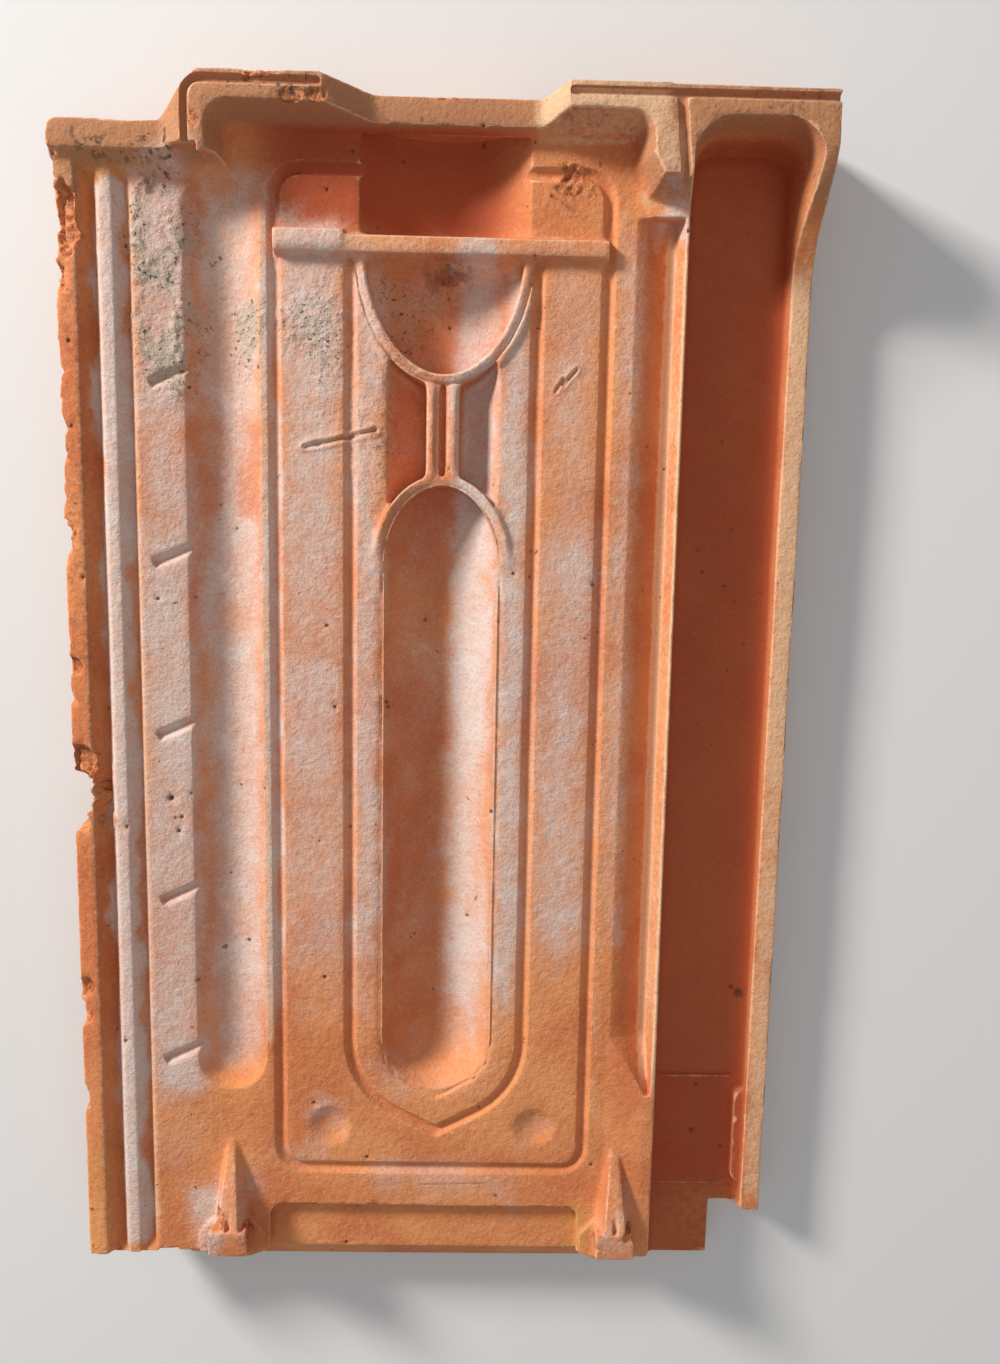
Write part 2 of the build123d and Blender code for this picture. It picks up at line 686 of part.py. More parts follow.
def head_upstand():
    """Raised head on the weather side, which the next tile's lip hooks over."""
    shelf = FACE - SHELF_DROP
    crest = FACE - UPSTAND_CREST
    return across(
        [
            (RECESS_TOP + 8.0, FACE - PAN + 1.0),
            (RECESS_TOP, shelf),
            (HEAD_FACE + 2.0, shelf),
            (HEAD_FACE - 1.5, crest),
            (HEAD + 2.0, crest),
            (HEAD, crest + 2.5),
            (HEAD, FACE - 3.0),
        ],
        BAND_LEFT + 8.0,
        HOLLOW_LEFT + 6.0,
    )


def nib(x):
    """Hanging nib: a ridge that rises from a point to a blunt end over a wider foot."""
    low = FACE - 1.0
    slope_end = NIB_TOP - NIB_L
    half = NIB_BASE_W / 2
    crest = NIB_CREST_W / 2
    point = Polyline((x - 3.4, low), (x + 3.4, low), (x + 1.0, FACE + 0.5), (x - 1.0, FACE + 0.5), close=True)
    block = Polyline(
        (x - half, low), (x + half, low), (x + crest, FACE + NIB_H), (x - crest, FACE + NIB_H), close=True
    )
    small = make_face(Plane.XZ.offset(-NIB_TOP) * point)
    large = make_face(Plane.XZ.offset(-slope_end) * block)
    ridge = loft([small, large], ruled=True)
    slot_half = NIB_SLOT_W / 2
    slot = box(x - slot_half, x + slot_half, slope_end, NIB_TOP - 5.0, FACE + NIB_H - NIB_SLOT_DEPTH, CLEAR)
    root = FACE - RECESS_DEPTH - 4.0
    foot = across(
        [
            (slope_end, root),
            (slope_end, FACE + NIB_H),
            (HEAD_FACE + 4.0, FACE + NIB_H - 1.0),
            (HEAD_FACE - 1.0, FACE + 1.0),
            (HEAD_FACE - 2.5, root),
        ],
        x - half,
        x + half,
    )
    wide = NIB_FOOT_W / 2
    spread = plan(
        [
            (x - half, slope_end),
            (x + half, slope_end),
            (x + wide, HEAD_FACE + 8.0),
            (x + wide, HEAD_FACE),
            (x + half, HEAD_FACE - 2.0),
            (x - half, HEAD_FACE - 2.0),
            (x - wide, HEAD_FACE),
            (x - wide, HEAD_FACE + 8.0),
        ],
        root,
        FACE + 1.5,
    )
    return (ridge - slot) + foot + spread


def dimple(x):
    """Shallow round dimple at a lower corner of the panel."""
    radius = (DIMPLE_R**2 + DIMPLE_DEPTH**2) / (2 * DIMPLE_DEPTH)
    return Pos(x, FRAME_BOTTOM + DIMPLE_UP, FACE - DIMPLE_DEPTH + radius) * ball(radius)


def build_tile():
    """The whole tile, pressed feature by feature."""
    nose = nose_block()
    for cut in nose_hollows() + lip_heights():
        nose -= cut
    tile = body() + nose
    beyond = [(LEFT - MARGIN, NOSE + MARGIN), (LEFT - MARGIN, LOW_EDGE)] + nose_edge()[1:]
    tile -= plan(beyond + [(RIGHT + MARGIN, NOSE - RIGHT_BACK - 0.8), (RIGHT + MARGIN, NOSE + MARGIN)], -MARGIN, CLEAR)
    tile += head_upstand()
    for cut in side_trough() + [cover_trough()] + centre_trough() + head_cuts():
        tile -= cut
    tile += groove_stops()
    tile -= cover_hollow()
    tile -= wall_top()
    tile += hollow_pads()
    for cut in (frame_line(), loop_line(), loop_step()):
        tile -= cut
    tile += cross_bar()
    tile += hourglass()
    for cut in [neck_slot()] + nicks() + drip_grooves():
        tile -= cut
    for x in (FRAME_LEFT - NIB_GAP + NIB_SHIFT, FRAME_RIGHT + NIB_GAP + NIB_SHIFT):
        tile += nib(x)
    for x in (FRAME_LEFT + DIMPLE_IN, FRAME_RIGHT - DIMPLE_IN):
        tile -= dimple(x)
    return tile


os.makedirs("parts", exist_ok=True)
roof_tile = build_tile()
roof_tile.label = "roof_tile"
export_step(roof_tile, "parts/roof_tile.step")
print("solids", len(roof_tile.solids()), "volume cm3", round(roof_tile.volume / 1000, 1))
print(roof_tile.bounding_box())
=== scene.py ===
"""Looks of the clay roof tile: worn, salt-stained terracotta that lies on its weather face."""

import logging
import math
from dataclasses import dataclass
from enum import Enum

import bpy
import numpy as np
from mathutils import Matrix, Vector

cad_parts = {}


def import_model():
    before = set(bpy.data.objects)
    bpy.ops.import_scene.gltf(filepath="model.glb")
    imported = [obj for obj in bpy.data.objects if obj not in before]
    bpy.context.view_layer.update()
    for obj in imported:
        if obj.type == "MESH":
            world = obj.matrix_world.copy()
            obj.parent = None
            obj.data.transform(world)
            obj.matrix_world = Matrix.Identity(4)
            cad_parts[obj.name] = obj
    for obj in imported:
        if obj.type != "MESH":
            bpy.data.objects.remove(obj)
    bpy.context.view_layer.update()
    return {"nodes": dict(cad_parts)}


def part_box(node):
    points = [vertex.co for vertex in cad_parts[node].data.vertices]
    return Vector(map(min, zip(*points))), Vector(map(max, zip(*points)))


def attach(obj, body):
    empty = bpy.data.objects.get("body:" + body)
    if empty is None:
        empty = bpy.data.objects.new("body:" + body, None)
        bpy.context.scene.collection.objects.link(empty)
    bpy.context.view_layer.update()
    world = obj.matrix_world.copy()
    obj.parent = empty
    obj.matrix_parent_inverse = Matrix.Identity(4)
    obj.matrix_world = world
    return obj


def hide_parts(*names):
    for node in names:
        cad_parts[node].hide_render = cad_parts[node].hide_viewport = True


log = logging.getLogger("roof_tile")

Socket = bpy.types.NodeSocket
Value = Socket | float | tuple
Triple = tuple[float, float, float]
Colour = tuple[float, float, float]
Place = tuple[float, ...]

NODE = "roof_tile"
SLOT = "fired_clay"
MM = 0.001

# Heights and places on the tile, in millimetres
FACE = 25.0
RIM_HEIGHT = 27.0
FLANGE_EDGE = -129.0
HOLLOW_LEFT = 85.0
HOLLOW_RIGHT = 122.5
LIP_START = 172.0


class Mask(Enum):
    """What is kept at each point of the clay's surface, as a value from 0 to 1."""

    CREST = "crest"
    CAVITY = "cavity"
    BROKEN = "broken"
    BLOOM = "bloom"
    BLUSH = "blush"
    MORTAR = "mortar"
    # DEEP: dark red, mostly painted shade in the hollow, troughs and recess
    DEEP = "deep"
    LIP = "lip"
    # RIM: pale rims, mostly painted highlight
    RIM = "rim"
    LICHEN = "lichen"
    OCHRE = "ochre"
    SOIL = "soil"
    WEATHER = "weather"


# Noise and masks on points


class Lattice:
    """Smooth seeded noise for arrays of points."""

    CELL_FACTORS = (374761393, 668265263, 1440670441)
    SEED_FACTOR = 974634777
    MIX_FACTOR = 1274126177
    WORD = 0xFFFFFFFF
    HALF_WORD = 0xFFFF
    SEED_SHIFT = 17.3
    OCTAVE_SCALE = 2.03
    OCTAVE_SHIFT = 11.7

    def __init__(self, seed: int) -> None:
        """Keeps the seed that makes this noise its own."""
        self.seed = seed

    def corner(self, cell: np.ndarray) -> np.ndarray:
        """The fixed random value of each lattice cell.

        Args:
            cell: whole-numbered cells, one a row.

        Returns:
            A value from 0 to 1 for each.
        """
        east, north, up = (cell[:, axis] * factor for axis, factor in enumerate(self.CELL_FACTORS))
        mixed = (east + north + up + self.seed * self.SEED_FACTOR) & self.WORD
        mixed = ((mixed ^ (mixed >> 13)) * self.MIX_FACTOR) & self.WORD
        return ((mixed ^ (mixed >> 16)) & self.HALF_WORD) / self.HALF_WORD

    def single(self, points: np.ndarray) -> np.ndarray:
        """One octave.

        Args:
            points: places in lattice units.

        Returns:
            A value from 0 to 1 for each.
        """
        base = np.floor(points).astype(np.int64)
        part = points - base
        part = part * part * (3.0 - 2.0 * part)
        total = np.zeros(len(points))
        for dx in (0, 1):
            for dy in (0, 1):
                for dz in (0, 1):
                    share = np.abs(1 - dx - part[:, 0]) * np.abs(1 - dy - part[:, 1])
                    share *= np.abs(1 - dz - part[:, 2])
                    total += share * self.corner(base + np.array([dx, dy, dz]))
        return total

    def layered(
        self, points: np.ndarray, size: float, octaves: int = 3, stretch: Triple = (1.0, 1.0, 1.0)
    ) -> np.ndarray:
        """Several octaves on top of each other.

        Args:
            points: places in millimetres.
            size: width of the largest lumps, in millimetres.
            octaves: number of layers.
            stretch: how much longer the lumps are along each axis.

        Returns:
            A value from 0 to 1 for each, mostly near the middle.
        """
        where = points / (size * np.array(stretch)) + self.seed * self.SEED_SHIFT
        total, weight, share = np.zeros(len(points)), 0.0, 1.0
        for _ in range(octaves):
            total += share * self.single(where)
            weight += share
            share *= 0.5
            where = where * self.OCTAVE_SCALE + self.OCTAVE_SHIFT
        return total / weight


def step(value: np.ndarray, low: float, high: float) -> np.ndarray:
    """Smooth step of a value from 0 at low to 1 at high.

    Args:
        value: the values.
        low: where the step starts.
        high: where it ends; below low for a falling step.

    Returns:
        Values from 0 to 1.
    """
    part = np.clip((value - low) / (high - low), 0.0, 1.0)
    return part * part * (3.0 - 2.0 * part)


@dataclass(frozen=True)
class Patch:
    """A soft-edged area of the pressed side, in millimetres; fade is its softness along the tile."""

    left: float
    right: float
    low: float
    high: float
    amount: float
    soft: float
    fade: float = 0.0

    def of(self, points: np.ndarray) -> np.ndarray:
        """How much of the patch is at each point.

        Args:
            points: places in millimetres.

        Returns:
            Values from 0 to the patch's amount.
        """
        x, y = points[:, 0], points[:, 1]
        side = self.soft / 2
        end = (self.fade or self.soft) / 2
        across = step(x, self.left - side, self.left + side) * step(x, self.right + side, self.right - side)
        along = step(y, self.low - end, self.low + end) * step(y, self.high + end, self.high - end)
        return self.amount * across * along


def most(patches: tuple[Patch, ...], points: np.ndarray) -> np.ndarray:
    """The strongest of several patches at each point.

    Args:
        patches: the patches.
        points: places in millimetres.

    Returns:
        Their largest value.
    """
    total = np.zeros(len(points))
    for patch in patches:
        total = np.maximum(total, patch.of(points))
    return total


def to_line(points: np.ndarray, start: np.ndarray, end: np.ndarray) -> np.ndarray:
    """How far points are from a straight line, seen from above.

    Args:
        points: places in millimetres.
        start: one end of the line.
        end: its other end.

    Returns:
        Distances in millimetres.
    """
    run = end - start
    part = np.clip(((points[:, :2] - start) @ run) / (run @ run), 0.0, 1.0)
    return np.linalg.norm(points[:, :2] - start - part[:, None] * run, axis=1)


@dataclass(frozen=True)
class Spall:
    """A flake burst off an edge or a face, which leaves a rough bed."""

    place: Place
    reach: Place
    push: Place
    uneven: float = 0.9
    rim: float = 0.74

    def share(self, points: np.ndarray, rough: np.ndarray) -> np.ndarray:
        """How far inside the flake each point lies.

        Args:
            points: places in millimetres.
            rough: noise from 0 to 1 that makes the outline uneven.

        Returns:
            1 on the bed, 0 outside, steep at the rim.
        """
        offset = (points - np.array(self.place)) / np.array(self.reach)
        distance = np.linalg.norm(offset, axis=1) + self.uneven * (rough - 0.5)
        return step(distance, 1.0, self.rim)


def arc(middle: Place, reach: Place, start: float, end: float, count: int = 15) -> tuple[Place, ...]:
    """Places along part of an ellipse.

    Args:
        middle: its middle.
        reach: its half width and half length.
        start: first angle, in degrees.
        end: last angle.
        count: how many places.

    Returns:
        The places.
    """
    angles = np.radians(np.linspace(start, end, count))
    return tuple((middle[0] + reach[0] * math.cos(a), middle[1] + reach[1] * math.sin(a)) for a in angles)


@dataclass(frozen=True)
class Bead:
    """A soft line that stands up from the clay, or is sunk in it, along a path across the face."""

    path: tuple[Place, ...]
    width: float
    rise: float
    tail: float = 6.0
    tail_height: float = 0.35

    def lift(self, points: np.ndarray, rough: np.ndarray) -> np.ndarray:
        """How far it lifts each point.

        Args:
            points: places in millimetres.
            rough: noise from 0 to 1 that makes the line uneven.

        Returns:
            Heights in millimetres, below 0 for a sunk line.
        """
        path = np.array(self.path)
        distance = np.full(len(points), np.inf)
        for start, end in zip(path[:-1], path[1:]):
            distance = np.minimum(distance, to_line(points, start, end))
        ends = np.minimum(*[np.linalg.norm(points[:, :2] - path[index], axis=1) for index in (0, -1)])
        fade = self.tail_height + (1.0 - self.tail_height) * step(ends, 0.0, self.tail)
        return self.rise * fade * step(distance, self.width / 2, self.width * 0.12) * (0.7 + 0.6 * rough)


@dataclass(frozen=True)
class Scratch:
    """A line scored in the clay, from one place to another across the face."""

    start: Place
    end: Place
    width: float
    depth: float
    waver: float = 0.6
    burr: float = 0.45

    def share(self, points: np.ndarray, rough: np.ndarray) -> np.ndarray:
        """How deep in the scratch each point lies.

        Args:
            points: places in millimetres.
            rough: noise from 0 to 1 that makes the line waver.

        Returns:
            Values from 0 to 1, below 0 on the burr beside it.
        """
        distance = to_line(points, np.array(self.start), np.array(self.end))
        distance = distance + self.waver * self.width * (rough - 0.5)
        burr = step(distance, self.width * 1.2, self.width * 0.75)
        burr *= step(distance, self.width * 0.35, self.width * 0.7)
        return step(distance, self.width / 2, 0.0) - self.burr * burr


@dataclass(frozen=True)
class Pit:
    """A small round hole in the clay, seen from above."""

    x: float
    y: float
    radius: float
    depth: float

    def share(self, points: np.ndarray) -> np.ndarray:
        """How deep in the pit each point lies.

        Args:
            points: places in millimetres.

        Returns:
            Values from 0 to 1.
        """
        distance = np.hypot(points[:, 0] - self.x, points[:, 1] - self.y)
        return step(distance, self.radius, self.radius * 0.3)


# The clay's damage and weathering


@dataclass(frozen=True)
class Damage:
    """What the tile has lost: flakes, scratches, pits and its ragged under-lap edge."""

    seed: int
    flakes: tuple[Spall, ...] = (
        # the under-lap's outer edge, from the nose down
        Spall((-129.0, 169.0, 31.5), (9.5, 14.0, 6.0), (2.6, 0.0, -3.6)),
        Spall((-130.0, 152.0, 31.0), (6.0, 8.0, 5.0), (2.2, 0.0, -1.8)),
        Spall((-130.0, 104.0, 32.0), (5.0, 5.0, 4.0), (1.8, 0.0, -1.6)),
        Spall((-131.0, 66.0, 30.0), (6.0, 10.0, 5.0), (2.4, 0.0, -1.2)),
        Spall((-128.5, 22.0, 32.0), (5.0, 4.0, 4.0), (1.4, 0.0, -1.8)),
        Spall((-128.0, -14.0, 32.0), (9.0, 9.0, 5.0), (1.6, 0.0, -3.0)),
        Spall((-129.0, -25.0, 28.0), (9.5, 9.5, 9.0), (6.2, 0.0, -3.6)),
        Spall((-130.0, -33.5, 27.0), (8.0, 5.5, 9.0), (6.6, 0.0, -2.6)),
        # the ridge beside the great flake
        Spall((-115.6, -34.0, 28.0), (2.4, 3.6, 4.0), (-1.2, 0.0, -0.8)),
        # the outer edge again, down to the head
        Spall((-128.0, -97.0, 32.0), (4.6, 5.0, 4.0), (1.8, 0.0, -1.8)),
        Spall((-130.0, -106.0, 30.0), (5.0, 6.0, 5.0), (2.2, 0.0, -1.4)),
        Spall((-131.0, -140.0, 30.0), (5.0, 7.0, 5.0), (1.8, 0.0, -1.0)),
        # the nose lip
        Spall((-47.5, 207.4, 40.0), (6.0, 3.0, 3.0), (0.0, -0.2, -0.9)),
        Spall((-40.0, 208.0, 40.0), (4.6, 3.4, 3.2), (0.0, -0.4, -1.3)),
        Spall((-60.0, 214.6, 40.0), (9.0, 2.2, 2.4), (0.0, -0.4, -0.7)),
        Spall((-79.5, 199.5, 40.0), (2.4, 3.2, 2.4), (0.0, 0.0, -1.0)),
        Spall((-128.0, 190.0, 34.0), (2.4, 3.0, 3.0), (0.8, 0.0, -0.8)),
        # the panel's corner and the lip's centre
        Spall((44.0, 188.0, 25.0), (8.0, 6.0, 3.0), (0.0, 0.0, -0.45)),
        Spall((2.0, 213.0, 30.5), (10.0, 2.4, 2.0), (0.0, -0.3, -0.5)),
        # the nibs and the hollow's head corner
        Spall((-80.0, -186.0, 33.0), (4.0, 5.0, 5.0), (0.9, 0.0, -1.6)),
        Spall((-68.5, -193.0, 31.0), (3.4, 4.2, 5.0), (-0.8, 0.6, -1.4)),
        Spall((75.5, -190.0, 33.0), (3.4, 4.6, 5.0), (-0.9, 0.0, -1.5)),
        Spall((64.0, -196.0, 30.0), (3.2, 3.4, 5.0), (0.8, 0.7, -1.2)),
        Spall((122.0, -192.0, 12.0), (4.0, 3.0, 4.0), (-0.8, 0.8, -0.8)),
    )
    scratches: tuple[Scratch, ...] = (
        Scratch((-46.5, 98.9), (-22.5, 105.0), 2.2, 0.9),
        Scratch((37.0, 183.5), (45.0, 178.5), 1.5, 0.5),
        Scratch((41.5, 188.5), (44.0, 192.5), 2.2, 0.6),
        Scratch((42.5, 121.5), (47.0, 127.0), 1.6, 0.7),
        Scratch((39.5, 119.0), (42.5, 123.5), 1.4, 0.6),
        Scratch((-6.0, -176.5), (22.0, -175.5), 0.9, 0.25),
    )
    pits: tuple[Pit, ...] = (
        Pit(-95.3, -26.2, 1.5, 1.6),
        Pit(-92.7, -38.4, 1.0, 1.0),
        Pit(-93.8, -33.5, 0.7, 0.6),
        Pit(-98.2, 45.5, 1.0, 0.7),
        Pit(118.4, -105.4, 2.6, 0.9),
        Pit(115.5, -103.0, 1.3, 0.6),
        Pit(102.0, -162.1, 1.2, 0.8),
        Pit(83.0, 172.5, 0.9, 0.9),
    )
    stray_pits: int = 60
    beads: tuple[Bead, ...] = (
        # the bowl's rim: outer rolls, groove and inner line
        Bead(arc((1.0, 166.0), (32.3, 46.6), 222.0, 258.0), 3.6, 1.0),
        Bead(arc((1.0, 166.0), (31.9, 46.6), 282.0, 352.0), 3.4, 0.9),
        Bead(arc((1.0, 166.0), (30.6, 45.2), 186.0, 354.0), 1.7, -0.9),
        Bead(arc((1.0, 166.0), (28.2, 42.6), 186.0, 354.0), 1.9, 0.35),
        # the hoop over the centre trough: rolls and groove
        Bead(arc((1.0, 58.5), (23.6, 32.0), 8.0, 80.0), 3.6, 0.8),
        Bead(arc((1.0, 58.5), (23.6, 32.0), 100.0, 172.0), 3.6, 0.8),
        Bead(arc((1.0, 58.5), (20.8, 28.6), 4.0, 84.0), 1.5, -0.8),
        Bead(arc((1.0, 58.5), (20.8, 28.6), 96.0, 176.0), 1.5, -0.8),
        # the crease along the centre trough and round its point
        Bead(((-19.8, 56.0), (-19.8, -118.0), (-18.0, -127.0), (-13.0, -133.5), (1.0, -141.5)), 1.5, -0.6),
        Bead(((1.0, -141.5), (15.0, -133.5), (20.0, -127.0), (21.8, -118.0), (21.8, 56.0)), 1.5, -0.6),
        # the two bars of the neck
        Bead(((-3.0, 91.0), (-3.0, 121.0)), 3.4, 0.7),
        Bead(((4.8, 91.0), (4.8, 121.0)), 3.4, 0.6),
    )
    bead_margin: float = 3.0
    scratch_reach: float = 16.0
    scratch_soil: float = 0.5
    pit_reach: float = 4.0
    bed_height: float = 1.7

    def scattered(self) -> tuple[Pit, ...]:
        """Small stray pits all over the pressed side."""
        draw = np.random.default_rng(self.seed)
        places = draw.uniform((-126.0, -205.0, 0.35), (126.0, 205.0, 0.8), (self.stray_pits, 3))
        return tuple(Pit(x, y, depth + 0.25, depth) for x, y, depth in places)

    def ragged(self, points: np.ndarray) -> tuple[np.ndarray, np.ndarray]:
        """Nibbles the under-lap's outer edge.

        Args:
            points: places in millimetres.

        Returns:
            The moved points and how far each has moved.
        """
        near = points[:, 0] < FLANGE_EDGE + 9.0
        some = points[near]
        coarse = Lattice(self.seed + 4).layered(some, 19.0, 4, (1.0, 1.0, 0.6))
        fine = Lattice(self.seed + 5).layered(some, 3.0, 3)
        upper = 0.35 + 0.65 * step(some[:, 1], -60.0, -20.0)
        loss = 2.2 * step(coarse, 0.52, 0.8) + 1.3 * step(fine, 0.4, 0.8)
        loss = loss * step(some[:, 1], 198.0, 184.0) * upper
        edge = FLANGE_EDGE + loss * step(some[:, 2], 17.0, 27.0)
        moved = np.maximum(edge - some[:, 0], 0.0)
        result = points.copy()
        result[near, 0] += moved
        amount = np.zeros(len(points))
        amount[near] = step(moved, 0.35, 1.1)
        return result, amount

    def strike(self, points: np.ndarray, normals: np.ndarray) -> tuple[np.ndarray, np.ndarray, np.ndarray]:
        """Takes all the lost clay away.

        Args:
            points: places in millimetres.
            normals: outward directions.

        Returns:
            The worn points, how broken and how soiled each place is.
        """
        points, broken = self.ragged(points)
        soiled = np.zeros(len(points))
        for flake in self.flakes:
            reach = np.array(flake.reach) * 1.5
            near = np.all(np.abs(points - np.array(flake.place)) < reach, axis=1)
            some = points[near]
            share = flake.share(some, Lattice(self.seed + 6).layered(some, 5.0, 3))
            bed = (Lattice(self.seed + 7).layered(some, 1.9, 3) - 0.5) * self.bed_height
            push = share[:, None] * np.array(flake.push)
            points[near] = some + push + normals[near] * (share * bed)[:, None]
            broken[near] = np.maximum(broken[near], share)
        upper = (normals[:, 2] > 0.35) & (points[:, 2] > 6.0)
        for bead in self.beads:
            path = np.array(bead.path)
            low, high = path.min(axis=0) - self.bead_margin, path.max(axis=0) + self.bead_margin
            near = upper & np.all((points[:, :2] > low) & (points[:, :2] < high), axis=1)
            some = points[near]
            points[near, 2] += bead.lift(some, Lattice(self.seed + 9).layered(some, 5.0, 2))
        for scratch in self.scratches:
            middle = (np.array(scratch.start) + np.array(scratch.end)) / 2
            away = np.hypot(points[:, 0] - middle[0], points[:, 1] - middle[1])
            near = upper & (away < self.scratch_reach)
            some = points[near]
            share = scratch.share(some, Lattice(self.seed + 8).layered(some, 4.0, 3))
            points[near, 2] -= share * scratch.depth
            soiled[near] = np.maximum(soiled[near], share * self.scratch_soil)
        for pit in self.pits + self.scattered():
            near = upper & np.all(np.abs(points[:, :2] - (pit.x, pit.y)) < self.pit_reach, axis=1)
            share = pit.share(points[near])
            points[near, 2] -= share * pit.depth
            soiled[near] = np.maximum(soiled[near], share)
        return points, broken, soiled


@dataclass(frozen=True)
class Weathering:
    """Where salt, mortar, lichen and dirt lie on the tile, and where shade and highlights are painted."""

    seed: int
    drift_across: float = 9.0
    drift_along: float = 34.0
    ending: tuple[float, float] = (-78.0, -128.0)
    salt: tuple[Patch, ...] = (
        Patch(-117.0, -106.0, -196.0, 180.0, 1.0, 3.0),  # the ridge
        Patch(-104.5, -84.0, -140.0, 190.0, 0.88, 14.0),  # the band
        Patch(-84.0, -62.0, -126.0, 186.0, 0.86, 14.0, 30.0),  # the side trough
        Patch(-62.0, -56.0, -108.0, 176.0, 0.95, 4.0, 44.0),  # the frame line on the left
        Patch(-57.0, -32.0, 30.0, 176.0, 0.82, 18.0),  # the left panel towards the nose
        Patch(-57.0, -32.0, -100.0, 80.0, 0.76, 18.0, 58.0),  # the left panel towards the head
        Patch(-32.0, -19.0, -108.0, 168.0, 0.86, 16.0, 44.0),  # left of the centre trough
        # painted shade and light: little salt on the centre trough's shaded left half, full salt on its lit
        # right half
        Patch(-19.0, 4.0, -114.0, 170.0, 0.42, 14.0, 40.0),  # the centre trough's left half
        Patch(3.0, 20.0, -130.0, 166.0, 1.0, 12.0),  # the centre trough's right half
        Patch(20.0, 32.0, -110.0, 160.0, 0.95, 14.0, 40.0),  # right of the centre trough
        Patch(-24.0, 26.0, -144.0, -120.0, 0.6, 12.0),  # the centre trough's point
        Patch(34.0, 57.0, -92.0, 76.0, 0.78, 24.0, 56.0),  # the right panel towards the head
        Patch(34.0, 57.0, 60.0, 166.0, 0.52, 24.0),  # the right panel towards the nose
        Patch(60.0, 70.0, -80.0, 175.0, 0.55, 12.0),  # the right margin
        Patch(74.0, 84.0, 168.0, 186.0, 0.95, 8.0),  # the block behind the lip
        Patch(-92.0, -76.0, -202.0, -178.0, 0.8, 12.0),  # the left nib's foot
        Patch(-76.0, -62.0, -194.0, -170.0, 0.5, 12.0),  # beside the left nib
        Patch(60.0, 78.0, -198.0, -180.0, 0.5, 12.0),  # the right nib's foot
        Patch(-24.0, 34.0, -182.0, -168.0, 0.5, 14.0),  # the slope between the nibs
        Patch(-60.0, -36.0, -176.0, -160.0, 0.4, 14.0),  # the frame line at the head, on the left
        Patch(-104.0, -84.0, -176.0, -140.0, 0.35, 18.0),  # the band's head end
        Patch(-48.0, -30.0, -160.0, -144.0, 0.55, 8.0),  # the left dimple
        Patch(30.0, 47.0, -160.0, -144.0, 0.35, 8.0),  # the right dimple
        Patch(-56.0, 56.0, 160.0, 171.0, 0.3, 6.0),  # the cross bar
    )
    # painted highlights: pale strips where the light rakes the rims, crests, nibs, bar and lips, partly worn
    # clay
    lit_and_worn_rims: tuple[Patch, ...] = (
        Patch(77.4, 86.0, -132.0, 174.0, 1.2, 2.0, 24.0),  # the cover crest
        Patch(122.0, 131.0, -190.0, -20.0, 0.6, 3.0, 20.0),  # the right wall towards the head
        Patch(122.0, 131.0, -26.0, 164.0, 0.72, 3.0, 24.0),  # the right wall towards the nose
        Patch(-106.0, -102.0, -196.0, 182.0, 0.5, 2.0),  # the band's outer edge
        Patch(-62.5, -58.5, -120.0, 176.0, 0.6, 2.0),  # the frame line on the left
        Patch(-78.0, -73.0, -188.0, -160.0, 0.4, 2.0),  # the left nib
        Patch(67.0, 72.0, -188.0, -160.0, 0.4, 2.0),  # the right nib
        Patch(-58.0, 58.0, 161.0, 171.0, 0.4, 3.0),  # the cross bar
        Patch(30.0, 74.0, 200.0, 215.0, 0.75, 6.0),  # the tall right lip
        Patch(66.0, 80.0, 180.0, 204.0, 0.5, 5.0),  # the block behind the lip
        Patch(58.5, 64.0, -150.0, 180.0, 0.35, 3.0),  # the frame line on the right
        Patch(-129.0, -86.0, 204.0, 216.0, 0.35, 6.0),  # the low left lip
    )
    warm: tuple[Patch, ...] = (
        Patch(-92.0, -76.0, 82.0, 104.0, 1.0, 12.0),  # the side trough's left bank
        Patch(-71.0, -60.0, 76.0, 112.0, 0.75, 12.0),  # the side trough's right bank
        Patch(-56.0, -34.0, 24.0, 60.0, 0.45, 22.0),  # the left panel towards the nose
        Patch(-56.0, -34.0, -84.0, -20.0, 0.45, 26.0),  # the left panel towards the head
        Patch(-102.0, -88.0, 60.0, 112.0, 0.4, 20.0),  # the band
        Patch(36.0, 58.0, 6.0, 40.0, 0.25, 16.0),  # the right panel
        # painted shade: the red blush on the centre trough's left half and on the bowl stands in for their
        # shade
        Patch(-19.0, 3.0, -132.0, 84.0, 0.6, 14.0),  # the centre trough
        Patch(-18.0, 6.0, 126.0, 160.0, 0.4, 10.0),  # the bowl
    )
